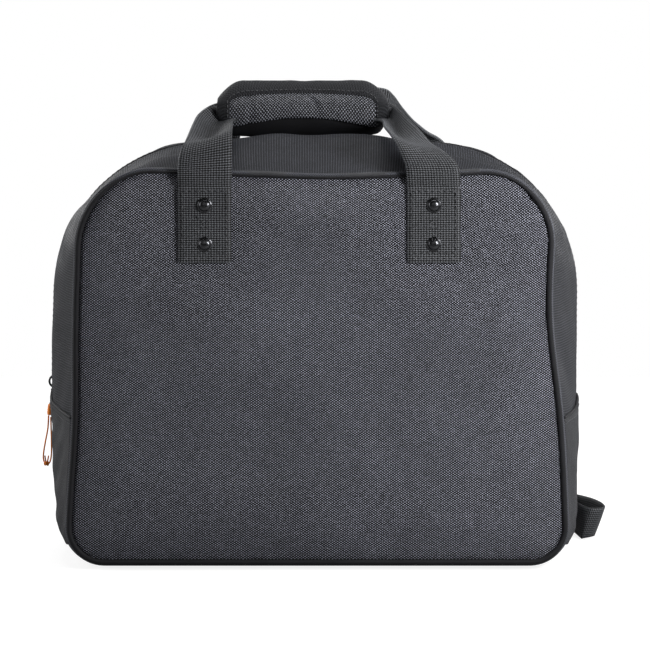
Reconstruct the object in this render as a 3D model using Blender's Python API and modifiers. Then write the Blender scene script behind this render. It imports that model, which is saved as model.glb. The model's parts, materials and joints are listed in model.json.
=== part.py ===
"""Bowling ball bag: padded panels, a bulging side band with a zip over the top, and two wrapped handles.

Metres, +Z up. The front face looks along -Y and the origin is under the middle of the flat base.
"""
import math

import bmesh
import bpy
from mathutils import Matrix, Vector

# Clearances
GAP = 0.0003              # between touching neighbours
SPLIT_GAP = 0.0006        # each side of a cut between the opening half and the rest

# Panels and their outline at the front and rear faces
HALF_DEPTH = 0.120        # outer faces of the panels
PANEL_T = 0.005
PANEL_FOOT = 0.0055       # the panels end this far above the floor
PANEL_TOP = 0.292
LOW_HALF_W = 0.1845       # half width where the sides meet the bottom line
HIGH_HALF_W = 0.1735      # half width where the sides meet the top line
LOW_CORNER_R = 0.026
HIGH_CORNER_R = 0.055
PANEL_INSET = 0.0025      # the panel edge lies inside the piping

# How far the side band swells outside that outline at mid-depth
LOW_BULGE = 0.0115
HIGH_BULGE = 0.0250
TOP_BULGE = 0.0185
LOW_R_GAIN = 0.008
HIGH_R_GAIN = 0.057
BULGE_POWER = 2.4
FOOT_RATE = 2.6           # the underside reaches the floor this much sooner than full bulge

# Side band, zip and piping
BAND_EDGE = HALF_DEPTH - PANEL_T - GAP
BAND_T = 0.004
ZIP_HALF_W = 0.0120
ZIP_T = 0.002
PIPING_R = 0.0022
PIPING_Y = HALF_DEPTH - 0.0028

# Opening: the front half folds down about the ends of the zip
PIVOT_Z = 0.1275
UPPER_SLOPE = math.tan(math.radians(15))
LOWER_SLOPE = math.tan(math.radians(37))
FOLD_START = 0.030        # the folding fabric starts this far in front of the pivot
UPPER_CUT_Z = PIVOT_Z + HALF_DEPTH * UPPER_SLOPE + 0.0004
LOWER_CUT_Z = PIVOT_Z - HALF_DEPTH * LOWER_SLOPE - 0.0004

# Side pockets
POCKET_EDGE = 0.108
POCKET_OFFSET = 0.0028
POCKET_T = 0.002
POCKET_LOW_Z = 0.014
POCKET_MID_Z = 0.1150
POCKET_DROP = 0.007       # the mouth is this much lower at the panels
BINDING_R = 0.0018

# Handle tabs and rivets
WEBBING_W = 0.038
TAB_T = 0.0022
TAB_LOW_Z = 0.2285
TAB_HIGH_Z = 0.2830
TAB_X = {"left": -0.0823, "right": 0.0857}
RIVET_Z = {"low": 0.2415, "high": 0.2700}
CAP_R = 0.0047
CAP_H = 0.0030
SHANK_R = 0.0016
HOLE_R = SHANK_R + GAP
INNER_HEAD_R = 0.0040
INNER_HEAD_T = 0.0012

# Handles: each rises from its tabs, leans over the bag and ends in a bar across the middle
HANDLE_T = 0.0024
HANDLE_Y = HALF_DEPTH + 0.0025
FOOT_Z = 0.2868
KNEE_Z = 0.314
BAR_Z = 0.341
BAR_W = 0.022
FRONT_BAR_Y = -0.016
REAR_BAR_Y = 0.0125
HINGE_Y = HANDLE_Y + 0.0035   # the webbing bends about a line just outside the tab tops
HINGE_Z = FOOT_Z - 0.002

# Grip wrap
GRIP_X = -0.011
GRIP_HALF_L = 0.0640
GRIP_HALF_Y = 0.0135
GRIP_HALF_Z = 0.0165
LEAF_T = 0.0022
LEAF_GAP = 0.0004
LEAF_START = math.radians(-122)   # the leaf goes up the front and over, seen from the left end
LEAF_STOP = math.radians(-275)
REAR_BAR_END = 0.058

# Zip slider and its pull, on the left side
SLIDER_SIZE = (0.0025, 0.0085, 0.0125)
MID_LOW_W = LOW_HALF_W + LOW_BULGE
MID_HIGH_W = HIGH_HALF_W + HIGH_BULGE
SIDE_X = MID_LOW_W + (MID_HIGH_W - MID_LOW_W) * PIVOT_Z / (PANEL_TOP + TOP_BULGE)
SLIDER_X = -(SIDE_X + SLIDER_SIZE[0] + 2 * GAP)
SLIDER_RISE = 0.0005      # the slider's middle is this far above the zip's end
BRIDGE_R = 0.0045
BRIDGE_WIRE_R = 0.0009
BRIDGE_START = math.radians(112)
BRIDGE_STOP = math.radians(298)
BRIDGE_IN = 0.0004        # how far the bridge's centre lies outside the slider's face
PULL_X = SLIDER_X - 0.0026
PULL_Z = PIVOT_Z - 0.0034
LINK_R = 0.0019
LINK_WIRE_R = 0.0005
STEM_R = 0.0009
STEM_LOW_Z = 0.1111
SLEEVE_R = 0.0021
SLEEVE_LOW_Z = 0.1020
PULL_CORD_R = 0.0006

# Inside
BOARD_SIZE = (0.296, 0.170, 0.003)
BOARD_CORNER_R = 0.020
BOARD_Z = 0.0050
CUP_OUTER_R = 0.076
CUP_INNER_R = 0.050
CUP_H = 0.030

# Back harness, on the rear panel; outlines are in X and Z, for the right side
HARNESS_T = 0.0094
YOKE_SIZE = (0.116, 0.028)
YOKE_T = 0.0036
YOKE_CORNER_R = 0.006
STRAP_TOP_X = 0.031       # middle of a shoulder strap where it leaves the yoke
STRAP_TOP_HALF_W = 0.024
STRAP_LOW_HALF_W = 0.019
STRAP_SWEEP = 1.4
LOCK_SLOT_H = 0.0036
LOCK_SLOT_Z = 0.0065      # the slots are this far above and below the lock's middle
ANCHOR = [(0.138, 0.0180), (0.166, 0.0180), (0.1745, 0.0300), (0.172, 0.0440), (0.150, 0.0420)]
STRAP_TOP_Z = 0.2540
STRAP_LOW_Z = 0.1060
LOCK_X = 0.073
LOCK_SIZE = (0.034, 0.026)
LOCK_T = 0.0045
LOCK_Z = 0.0915
STRAP_WEB_W = 0.025
STRAP_WEB_T = 0.0016
ANCHOR_T = 0.0020

COLOURS = {
    "shell": (0.070, 0.072, 0.085, 0.80, 0.0),
    "gusset": (0.060, 0.062, 0.072, 0.75, 0.0),
    "binding": (0.012, 0.012, 0.014, 0.65, 0.0),
    "webbing": (0.030, 0.032, 0.033, 0.80, 0.0),
    "rivet": (0.110, 0.112, 0.118, 0.30, 1.0),
    "zip": (0.010, 0.010, 0.011, 0.55, 0.0),
    "slider": (0.020, 0.020, 0.022, 0.35, 1.0),
    "orange": (0.900, 0.160, 0.015, 0.60, 0.0),
    "board": (0.050, 0.050, 0.052, 0.60, 0.0),
    "foam": (0.090, 0.092, 0.098, 0.95, 0.0),
    "buckle": (0.014, 0.014, 0.015, 0.40, 0.0),
}


def clear_scene():
    for item in list(bpy.data.objects):
        bpy.data.objects.remove(item, do_unlink=True)


def new_collection(name):
    collection = bpy.data.collections.new(name)
    bpy.context.scene.collection.children.link(collection)
    return collection


def make_materials():
    made = {}
    for name, (red, green, blue, roughness, metallic) in COLOURS.items():
        material = bpy.data.materials.new(name)
        material.use_nodes = True
        shader = material.node_tree.nodes["Principled BSDF"]
        shader.inputs["Base Color"].default_value = (red, green, blue, 1.0)
        shader.inputs["Roughness"].default_value = roughness
        shader.inputs["Metallic"].default_value = metallic
        made[name] = material
    return made


def make_pivot(name, position):
    """Empty on a joint's axis, which the pieces that move about it are parented to."""
    pivot = bpy.data.objects.new(name, None)
    pivot.location = position
    pivot.empty_display_size = 0.02
    BAG.objects.link(pivot)
    return pivot


def attach(piece, pivot):
    piece.parent = pivot
    piece.matrix_parent_inverse = Matrix.Translation(pivot.location).inverted()


def add_mesh(name, material, vertices, faces, pivot=None):
    mesh = bpy.data.meshes.new(name)
    mesh.from_pydata(vertices, [], faces)
    mesh.update()
    piece = bpy.data.objects.new(name, mesh)
    piece.data.materials.append(MATERIALS[material])
    BAG.objects.link(piece)
    if pivot:
        attach(piece, pivot)
    return piece


def add_solidify(piece, thickness, offset):
    solid = piece.modifiers.new("thickness", "SOLIDIFY")
    solid.thickness = thickness
    solid.offset = offset
    solid.use_even_offset = True


def fillet(before, corner, after, radius, steps):
    """Arc that rounds one corner of an outline."""
    towards_before = (before - corner).normalized()
    towards_after = (after - corner).normalized()
    half_angle = towards_before.angle(towards_after) / 2
    reach = radius / math.tan(half_angle)
    centre = corner + (towards_before + towards_after).normalized() * radius / math.sin(half_angle)
    first = corner + towards_before * reach - centre
    last = corner + towards_after * reach - centre
    sweep = math.pi - 2 * half_angle
    arc = []
    for step in range(steps + 1):
        share = step / steps
        mixed = first * math.sin((1 - share) * sweep) + last * math.sin(share * sweep)
        arc.append(centre + mixed / math.sin(sweep))
    return arc


def rounded_rectangle(width, height, radius, steps=4):
    half_w = width / 2
    half_h = height / 2
    corners = [Vector((half_w, -half_h)), Vector((half_w, half_h)),
               Vector((-half_w, half_h)), Vector((-half_w, -half_h))]
    points = []
    for index, corner in enumerate(corners):
        before = corners[index - 1]
        after = corners[(index + 1) % 4]
        points += fillet(before, corner, after, radius, steps)
    return points


def ellipse(half_u, half_v, steps):
    turn = 2 * math.pi / steps
    return [Vector((half_u * math.cos(turn * i), half_v * math.sin(turn * i))) for i in range(steps)]


def fullness(y):
    """0 where the side band meets a panel, 1 at mid-depth."""
    return 1 - min(1.0, abs(y) / BAND_EDGE) ** BULGE_POWER


def half_outline(swell, outset=0.0):
    """Right half of the bag's outline in X and Z, from the bottom centre up to the top centre."""
    low = LOW_HALF_W + LOW_BULGE * swell + outset
    high = HIGH_HALF_W + HIGH_BULGE * swell + outset
    base = PANEL_FOOT * (1 - min(1.0, swell * FOOT_RATE)) - outset
    top = PANEL_TOP + TOP_BULGE * swell + outset
    bottom_centre = Vector((0.0, base))
    low_corner = Vector((low, base))
    high_corner = Vector((high, top))
    top_centre = Vector((0.0, top))
    low_arc = fillet(bottom_centre, low_corner, high_corner, LOW_CORNER_R + LOW_R_GAIN * swell + outset, 6)
    high_arc = fillet(low_corner, high_corner, top_centre, HIGH_CORNER_R + HIGH_R_GAIN * swell + outset, 9)
    return [bottom_centre] + low_arc + high_arc + [top_centre]


def between_heights(points, low_z, high_z):
    """The stretch of a rising outline between two heights; None leaves that end whole."""
    kept = []
    for first, second in zip(points, points[1:]):
        for limit in (low_z, high_z):
            if limit is not None and first.y < limit < second.y:
                share = (limit - first.y) / (second.y - first.y)
                kept.append(first.lerp(second, share))
        inside_low = low_z is None or second.y >= low_z
        inside_high = high_z is None or second.y <= high_z
        if inside_low and inside_high:
            kept.append(second)
    if low_z is None:
        kept.insert(0, points[0])
    return kept


def resample(points, count):
    """The same line with evenly spaced points."""
    lengths = [0.0]
    for first, second in zip(points, points[1:]):
        lengths.append(lengths[-1] + (second - first).length)
    spaced = []
    index = 0
    for step in range(count):
        target = lengths[-1] * step / (count - 1)
        while index < len(points) - 2 and lengths[index + 1] < target:
            index += 1
        span = max(lengths[index + 1] - lengths[index], 1e-9)
        spaced.append(points[index].lerp(points[index + 1], (target - lengths[index]) / span))
    return spaced


def steps_between(first, last, count):
    return [first + (last - first) * i / (count - 1) for i in range(count)]


def grid_faces(rows, columns, flip):
    faces = []
    for row in range(rows - 1):
        for column in range(columns - 1):
            corner = row * columns + column
            face = (corner, corner + 1, corner + columns + 1, corner + columns)
            faces.append(tuple(reversed(face)) if flip else face)
    return faces


def band(name, material, stations, low_z, high_z, side, thickness, count, outset=0.0, pivot=None):
    """Piece of the side band: a lofted skin over the depth stations, thickened inwards.

    low_z and high_z give the cut heights at a depth, or are None. side is both, left or right.
    """
    sign = -1 if side == "left" else 1
    vertices = []
    for y in stations:
        low = low_z(y) if low_z else None
        high = high_z(y) if high_z else None
        outline = resample(between_heights(half_outline(fullness(y), outset), low, high), count)
        vertices += [(sign * point.x, y, point.y) for point in outline]
    faces = grid_faces(len(stations), count, flip=sign > 0)
    piece = add_mesh(name, material, vertices, faces, pivot)
    if side == "both":
        mirror = piece.modifiers.new("other_side", "MIRROR")
        mirror.use_axis = (True, False, False)
        mirror.mirror_object = CENTRE
        mirror.use_clip = True
        mirror.merge_threshold = 0.0001
    add_solidify(piece, thickness, -1)
    piece.data.shade_smooth()
    return piece


def flat_solid(name, material, outlines, y, thickness, pivot=None):
    """Flat piece in an XZ plane centred on y; outlines after the first are holes."""
    curve = bpy.data.curves.new(name, "CURVE")
    curve.dimensions = "2D"
    curve.fill_mode = "BOTH"
    curve.extrude = thickness / 2
    for outline in outlines:
        spline = curve.splines.new("POLY")
        spline.points.add(len(outline) - 1)
        for target, point in zip(spline.points, outline):
            target.co = (point.x, point.y, 0.0, 1.0)
        spline.use_cyclic_u = True
    piece = bpy.data.objects.new(name, curve)
    piece.data.materials.append(MATERIALS[material])
    piece.location = (0.0, y, 0.0)
    piece.rotation_euler = (math.pi / 2, 0.0, 0.0)
    BAG.objects.link(piece)
    if pivot:
        attach(piece, pivot)
    return piece


def tube(name, material, points, radius, resolution=1, cyclic=False, pivot=None):
    curve = bpy.data.curves.new(name, "CURVE")
    curve.dimensions = "3D"
    curve.bevel_depth = radius
    curve.bevel_resolution = resolution
    curve.use_fill_caps = True
    spline = curve.splines.new("POLY")
    spline.points.add(len(points) - 1)
    for target, point in zip(spline.points, points):
        target.co = (*point, 1.0)
    spline.use_cyclic_u = cyclic
    piece = bpy.data.objects.new(name, curve)
    piece.data.materials.append(MATERIALS[material])
    BAG.objects.link(piece)
    if pivot:
        attach(piece, pivot)
    return piece


def to_mesh(piece):
    """Replace a curve by a mesh with welded caps, so that it can be cut or joined."""
    bpy.context.view_layer.update()
    evaluated = piece.evaluated_get(bpy.context.evaluated_depsgraph_get())
    mesh = bpy.data.meshes.new_from_object(evaluated)
    welded = bmesh.new()
    welded.from_mesh(mesh)
    bmesh.ops.remove_doubles(welded, verts=welded.verts, dist=0.000001)
    welded.to_mesh(mesh)
    welded.free()
    name = piece.name
    parent = piece.parent
    world = piece.matrix_world.copy()
    bpy.data.objects.remove(piece, do_unlink=True)
    solid = bpy.data.objects.new(name, mesh)
    BAG.objects.link(solid)
    if parent:
        attach(solid, parent)
    solid.matrix_world = world
    return solid


def join_with(piece, tool):
    """Boolean union with a piece that is kept only as the modifier's second operand."""
    for collection in list(tool.users_collection):
        collection.objects.unlink(tool)
    CUTTERS.objects.link(tool)
    tool.hide_render = True
    tool.display_type = "WIRE"
    union = piece.modifiers.new("join_" + tool.name, "BOOLEAN")
    union.operation = "UNION"
    union.object = tool
    union.solver = "EXACT"


# ---------------------------------------------------------------- shell

def above_pivot(y):
    """Lower edge of what opens: it rises to the front."""
    return PIVOT_Z + UPPER_SLOPE * abs(y) + SPLIT_GAP


def below_pivot(y):
    """Upper edge of the lower band: level behind the zip end, sloping down in front of it."""
    slope = LOWER_SLOPE if y < 0 else 0.0
    return PIVOT_Z - slope * abs(y) - SPLIT_GAP


def fold_low(y):
    return below_pivot(y) + 2 * GAP


def fold_high(y):
    return above_pivot(y) - 2 * GAP


def rear_low(_y):
    return PIVOT_Z + GAP


def pocket_low(_y):
    return POCKET_LOW_Z


def pocket_mouth(y):
    return POCKET_MID_Z - POCKET_DROP * abs(y) / BAND_EDGE


def whole_depth():
    return steps_between(-BAND_EDGE, BAND_EDGE, 11)


def make_side_band(front_half):
    behind_zip = ZIP_HALF_W + GAP
    rear = steps_between(behind_zip, BAND_EDGE, 5)
    front = [-y for y in rear]
    folding = steps_between(-BAND_EDGE, -FOLD_START, 4)
    band("base_gusset", "gusset", whole_depth(), None, below_pivot, "both", BAND_T, 18)
    band("gusset_rear_upper", "gusset", rear, rear_low, None, "both", BAND_T, 20)
    band("gusset_front_upper", "gusset", front[::-1], above_pivot, None, "both", BAND_T, 20, pivot=front_half)
    for side in ("left", "right"):
        band("gusset_fold_" + side, "gusset", folding, fold_low, fold_high, side, BAND_T, 4)


def make_zip_tapes(front_half):
    rear = steps_between(GAP / 2, ZIP_HALF_W, 2)
    front = [-y for y in reversed(rear)]
    band("zip_tape_rear", "zip", rear, rear_low, None, "both", ZIP_T, 20, outset=-0.0004)
    band("zip_tape_front", "zip", front, above_pivot, None, "both", ZIP_T, 20, outset=-0.0004, pivot=front_half)


def mirrored(right):
    """The points of a line on the right, on the left and in reverse, without any on the middle."""
    return [Vector((-point.x, point.y)) for point in reversed(right) if point.x > 1e-6]


def closed_outline(low_z, high_z, outset):
    """Whole panel outline between two heights, mirrored about the middle."""
    right = between_heights(half_outline(0.0, outset), low_z, high_z)
    return right + mirrored(right)


def rivet_holes(places):
    """A hole for both rivets of each tab at these X positions."""
    holes = []
    for x in places:
        for z in RIVET_Z.values():
            holes.append([Vector((x, z)) + point for point in ellipse(HOLE_R, HOLE_R, 10)])
    return holes


def make_panels(front_half):
    middle = HALF_DEPTH - PANEL_T / 2
    whole = closed_outline(None, None, -PANEL_INSET)
    upper = closed_outline(UPPER_CUT_Z, None, -PANEL_INSET)
    fold = closed_outline(LOWER_CUT_Z + SPLIT_GAP, UPPER_CUT_Z - SPLIT_GAP, -PANEL_INSET)
    lower = closed_outline(None, LOWER_CUT_Z, -PANEL_INSET)
    flat_solid("rear_panel", "shell", [whole] + rivet_holes(TAB_X.values()), middle, PANEL_T)
    flat_solid("front_panel_upper", "shell", [upper] + rivet_holes(TAB_X.values()), -middle, PANEL_T, front_half)
    flat_solid("front_panel_fold", "shell", [fold], -middle, PANEL_T)
    flat_solid("front_panel_lower", "shell", [lower], -middle, PANEL_T)


def make_piping(front_half):
    def route(low_z, high_z, y):
        return [(point.x, y, point.y) for point in closed_outline(low_z, high_z, 0.0)]

    tube("piping_rear", "binding", route(None, None, PIPING_Y), PIPING_R, cyclic=True)
    tube("piping_front_upper", "binding", route(UPPER_CUT_Z, None, -PIPING_Y), PIPING_R, pivot=front_half)
    right_lower = between_heights(half_outline(0.0), None, LOWER_CUT_Z)
    lower = [(point.x, -PIPING_Y, point.y) for point in mirrored(right_lower) + right_lower]
    tube("piping_front_lower", "binding", lower, PIPING_R)
    right_fold = between_heights(half_outline(0.0), LOWER_CUT_Z + SPLIT_GAP, UPPER_CUT_Z - SPLIT_GAP)
    for side, sign in (("left", -1), ("right", 1)):
        points = [(sign * point.x, -PIPING_Y, point.y) for point in right_fold]
        tube("piping_fold_" + side, "binding", points, PIPING_R)


def make_pockets():
    inner = [y for y in whole_depth() if abs(y) < POCKET_EDGE]
    stations = [-POCKET_EDGE] + inner + [POCKET_EDGE]
    mouth_offset = POCKET_OFFSET - POCKET_T / 2
    for side, sign in (("left", -1), ("right", 1)):
        band("side_pocket_" + side, "shell", stations, pocket_low, pocket_mouth, side, POCKET_T, 12,
             outset=POCKET_OFFSET)
        rim = []
        for y in steps_between(-POCKET_EDGE, POCKET_EDGE, 11):
            height = pocket_mouth(y) + BINDING_R + GAP
            skin = between_heights(half_outline(fullness(y), mouth_offset + 0.0003), height, None)[0]
            rim.append((sign * (skin.x + 0.0004), y, height))
        tube("pocket_binding_" + side, "binding", rim, BINDING_R)


def rivet_profile(length):
    """Half section of a spool rivet: domed cap, shank and flat inner head, top to bottom."""
    return [(0.0, CAP_H), (CAP_R * 0.62, CAP_H * 0.80), (CAP_R * 0.95, CAP_H * 0.35), (CAP_R, 0.0),
            (SHANK_R, 0.0), (SHANK_R, -length), (INNER_HEAD_R, -length),
            (INNER_HEAD_R, -length - INNER_HEAD_T), (0.0, -length - INNER_HEAD_T)]


def turned(name, material, profile, steps, pivot=None):
    vertices = [(radius, 0.0, height) for radius, height in profile]
    edges = [(i, i + 1) for i in range(len(profile) - 1)]
    mesh = bpy.data.meshes.new(name)
    mesh.from_pydata(vertices, edges, [])
    piece = bpy.data.objects.new(name, mesh)
    piece.data.materials.append(MATERIALS[material])
    BAG.objects.link(piece)
    screw = piece.modifiers.new("turn", "SCREW")
    screw.steps = steps
    screw.render_steps = steps
    screw.use_merge_vertices = True
    screw.merge_threshold = 0.00001
    if pivot:
        attach(piece, pivot)
    return piece


def make_tabs_and_rivets(front_half):
    length = TAB_T + PANEL_T + 3 * GAP
    tab_y = HALF_DEPTH + GAP + TAB_T / 2
    cap_y = HALF_DEPTH + 2 * GAP + TAB_T
    for face, sign, pivot in (("front", -1, front_half), ("rear", 1, None)):
        for side, x in TAB_X.items():
            middle = Vector((x, (TAB_LOW_Z + TAB_HIGH_Z) / 2))
            shape = rounded_rectangle(WEBBING_W, TAB_HIGH_Z - TAB_LOW_Z, 0.002, 2)
            outline = [middle + point for point in shape]
            name = face + "_tab_" + side
            flat_solid(name, "webbing", [outline] + rivet_holes([x]), sign * tab_y, TAB_T, pivot)
            for level, z in RIVET_Z.items():
                rivet = turned(face + "_rivet_" + side + "_" + level, "rivet", rivet_profile(length), 14, pivot)
                rivet.location = (x, sign * cap_y, z)
                rivet.rotation_euler = (-sign * math.pi / 2, 0.0, 0.0)


# ---------------------------------------------------------------- handles

def handle_strip(name, pairs, sign, bar_y, pivot):
    """Webbing handle from pairs of edge points (x, distance along the webbing) leaning to a bar."""
    knee = Vector((sign * HANDLE_Y, KNEE_Z))
    lean = (Vector((bar_y, BAR_Z)) - knee).normalized()
    rise = KNEE_Z - FOOT_Z
    vertices = []
    for pair in pairs:
        for x, along in pair:
            if along <= rise:
                vertices.append((x, sign * HANDLE_Y, FOOT_Z + along))
            else:
                place = knee + lean * (along - rise)
                vertices.append((x, place.x, place.y))
    piece = add_mesh(name, "webbing", vertices, grid_faces(len(pairs), 2, flip=False), pivot)
    add_solidify(piece, HANDLE_T, 0)
    return piece


def bar_reach(sign, bar_y):
    """Distance along the webbing from the tab to the bar's lower and upper edges."""
    rise = KNEE_Z - FOOT_Z
    length = rise + math.hypot(sign * HANDLE_Y - bar_y, BAR_Z - KNEE_Z)
    return rise, length - BAR_W / 2, length + BAR_W / 2


def make_front_handle(pivot):
    rise, low, high = bar_reach(-1, FRONT_BAR_Y)
    left = TAB_X["left"]
    right = TAB_X["right"]
    half = WEBBING_W / 2
    grip_left = GRIP_X - GRIP_HALF_L
    grip_right = GRIP_X + GRIP_HALF_L
    # Outer edge first, then inner edge, from the left tab over to the right tab
    pairs = [
        ((left - half, 0.0), (left + half, 0.0)),
        ((left - half, rise), (left + half, rise)),
        ((left - half + 0.001, 0.072), (left + half - 0.001, 0.070)),
        ((left - half + 0.005, high - 0.018), (grip_left - 0.0005, 0.097)),
        ((grip_left - 0.012, high - 0.001), (grip_left - 0.003, low - 0.007)),
        ((grip_left - 0.001, high), (grip_left - 0.001, low)),
        ((GRIP_X, high), (GRIP_X, low)),
        ((grip_right + 0.001, high), (grip_right + 0.001, low)),
        ((grip_right + 0.011, high - 0.002), (grip_right + 0.003, low - 0.007)),
        ((right + half - 0.016, high - 0.036), (grip_right + 0.004, 0.095)),
        ((right + half - 0.006, 0.067), (right - half - 0.005, 0.065)),
        ((right + half, rise), (right - half, rise)),
        ((right + half, 0.0), (right - half, 0.0)),
    ]
    handle_strip("front_handle_webbing", pairs, -1, FRONT_BAR_Y, pivot)


def make_rear_handle(pivot):
    rise, low, high = bar_reach(1, REAR_BAR_Y)
    half = WEBBING_W / 2
    pairs = []
    for side, outward in (("left", -1), ("right", 1)):
        x = TAB_X[side]
        run = [
            ((x + outward * half, 0.0), (x - outward * half, 0.0)),
            ((x + outward * half, rise), (x - outward * half, rise)),
            ((x + outward * (half - 0.006), 0.067), (x - outward * (half + 0.005), 0.065)),
            ((x + outward * (half - 0.016), high - 0.036), (outward * (REAR_BAR_END + 0.002), 0.095)),
            ((outward * (REAR_BAR_END + 0.011), high - 0.002), (outward * (REAR_BAR_END + 0.001), low - 0.007)),
            ((outward * REAR_BAR_END, high), (outward * REAR_BAR_END, low)),
        ]
        pairs += run if side == "left" else run[::-1]
    handle_strip("rear_handle_webbing", pairs, 1, REAR_BAR_Y, pivot)


def make_grip(handle_pivot, leaf_pivot):
    lean = math.atan2(BAR_Z - KNEE_Z, FRONT_BAR_Y + HANDLE_Y)
    turn = Matrix.Rotation(lean, 2)
    outer = ellipse(GRIP_HALF_Y, GRIP_HALF_Z, 20)
    slot = [turn @ point for point in rounded_rectangle(BAR_W + 0.0012, HANDLE_T + 0.0012, 0.0004, 1)]
    core = flat_solid("grip_pad", "shell", [outer, slot], 0.0, 2 * GRIP_HALF_L, handle_pivot)
    # The section is drawn in Y and Z, so its local X runs along world Y and its local Z along world X
    core.rotation_euler = (math.pi / 2, 0.0, math.pi / 2)
    core.location = (GRIP_X, FRONT_BAR_Y, BAR_Z)
    add_leaf(leaf_pivot)


def leaf_section():
    """The leaf starts under the grip's front edge, covers the front and ends just behind the top."""
    points = []
    for angle in steps_between(LEAF_START, LEAF_STOP, 11):
        y = FRONT_BAR_Y + (GRIP_HALF_Y + LEAF_GAP) * math.cos(angle)
        z = BAR_Z + (GRIP_HALF_Z + LEAF_GAP) * math.sin(angle)
        points.append((y, z))
    return points


def add_leaf(pivot):
    vertices = []
    for y, z in leaf_section():
        for x in steps_between(GRIP_X - GRIP_HALF_L, GRIP_X + GRIP_HALF_L, 2):
            vertices.append((x, y, z))
    faces = grid_faces(len(leaf_section()), 2, flip=False)
    leaf = add_mesh("grip_leaf", "shell", vertices, faces, pivot)
    add_solidify(leaf, LEAF_T, 1)
    leaf.data.shade_smooth()


# ---------------------------------------------------------------- zip slider and pull

def make_slider(pivot):
    bpy.ops.mesh.primitive_cube_add(size=1.0)
    plate = bpy.context.object
    plate.name = "zip_slider_body"
    plate.data.transform(Matrix.Diagonal((*SLIDER_SIZE, 1.0)))
    for collection in list(plate.users_collection):
        collection.objects.unlink(plate)
    BAG.objects.link(plate)
    plate.data.materials.append(MATERIALS["slider"])
    edges = plate.modifiers.new("edges", "BEVEL")
    edges.width = 0.0006
    edges.segments = 1
    attach(plate, pivot)
    middle_z = PIVOT_Z + SLIDER_RISE
    plate.location = (SLIDER_X + SLIDER_SIZE[0] / 2, 0.0, middle_z)
    bridge = []
    for angle in steps_between(BRIDGE_START, BRIDGE_STOP, 12):
        x = SLIDER_X - BRIDGE_IN + BRIDGE_R * math.cos(angle)
        bridge.append((x, 0.0, middle_z + BRIDGE_R * math.sin(angle)))
    wire = to_mesh(tube("slider_bridge", "slider", bridge, BRIDGE_WIRE_R, 1))
    join_with(plate, wire)


def make_pull(pivot):
    bpy.ops.mesh.primitive_torus_add(
        major_radius=LINK_R, minor_radius=LINK_WIRE_R, major_segments=16, minor_segments=6)
    link = bpy.context.object
    link.name = "stem_link"
    link.data.transform(Matrix.Rotation(math.pi / 2, 4, "Y"))
    link.data.transform(Matrix.Translation((PULL_X, 0.0, PULL_Z)))
    stem_top = PULL_Z - LINK_R + 0.0001
    stem = tube("pull_stem", "zip", [(PULL_X, 0.0, stem_top), (PULL_X, 0.0, STEM_LOW_Z)], STEM_R, 1)
    stem = to_mesh(stem)
    attach(stem, pivot)
    join_with(stem, link)
    tube("pull_sleeve", "orange", [(PULL_X, 0.0, STEM_LOW_Z - GAP), (PULL_X, 0.0, SLEEVE_LOW_Z)],
         SLEEVE_R, 2, pivot=pivot)
    tube("pull_cord", "orange", pull_cord_route(), PULL_CORD_R, 1, pivot=pivot)


def pull_cord_route():
    """Thin cord loop below the sleeve: down the outer side, round the end and back up."""
    shape = [(-0.0009, 0.0), (-0.0015, -0.0100), (-0.0036, -0.0210), (-0.0050, -0.0300), (-0.0047, -0.0350),
             (-0.0027, -0.0375), (-0.0003, -0.0362), (0.0010, -0.0310), (0.0012, -0.0210),
             (0.0010, -0.0100), (0.0008, -0.0012)]
    corners = [Vector((PULL_X + x, 0.0, SLEEVE_LOW_Z - GAP + z)) for x, z in shape]
    points = []
    for index in range(len(corners) - 1):
        before = corners[max(index - 1, 0)]
        here = corners[index]
        there = corners[index + 1]
        beyond = corners[min(index + 2, len(corners) - 1)]
        for share in (0.0, 1 / 3, 2 / 3):
            points.append(smooth_between(before, here, there, beyond, share))
    points.append(corners[-1])
    return points


def smooth_between(before, here, there, beyond, share):
    """Catmull-Rom point between two of the route's own points."""
    square = share * share
    cube = square * share
    return 0.5 * (2 * here + (there - before) * share
                  + (2 * before - 5 * here + 4 * there - beyond) * square
                  + (3 * here - before - 3 * there + beyond) * cube)


# ---------------------------------------------------------------- inside

def make_base_board():
    outline = rounded_rectangle(BOARD_SIZE[0], BOARD_SIZE[1], BOARD_CORNER_R)
    board = flat_solid("base_board", "board", [outline], 0.0, BOARD_SIZE[2])
    # Other flat solids stand upright; this one lies down
    board.rotation_euler = (0.0, 0.0, 0.0)
    board.location = (0.0, 0.0, BOARD_Z + BOARD_SIZE[2] / 2)


def make_ball_cup():
    foot = BOARD_Z + BOARD_SIZE[2] + GAP
    section = [(CUP_OUTER_R - 0.010, CUP_H), (CUP_OUTER_R, CUP_H - 0.010), (CUP_OUTER_R, 0.0),
               (CUP_INNER_R, 0.0), (CUP_INNER_R, CUP_H * 0.45), (CUP_OUTER_R - 0.010, CUP_H)]
    cup = turned("ball_cup", "foam", section, 28)
    cup.location = (0.0, 0.0, foot)


# ---------------------------------------------------------------- back harness

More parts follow.
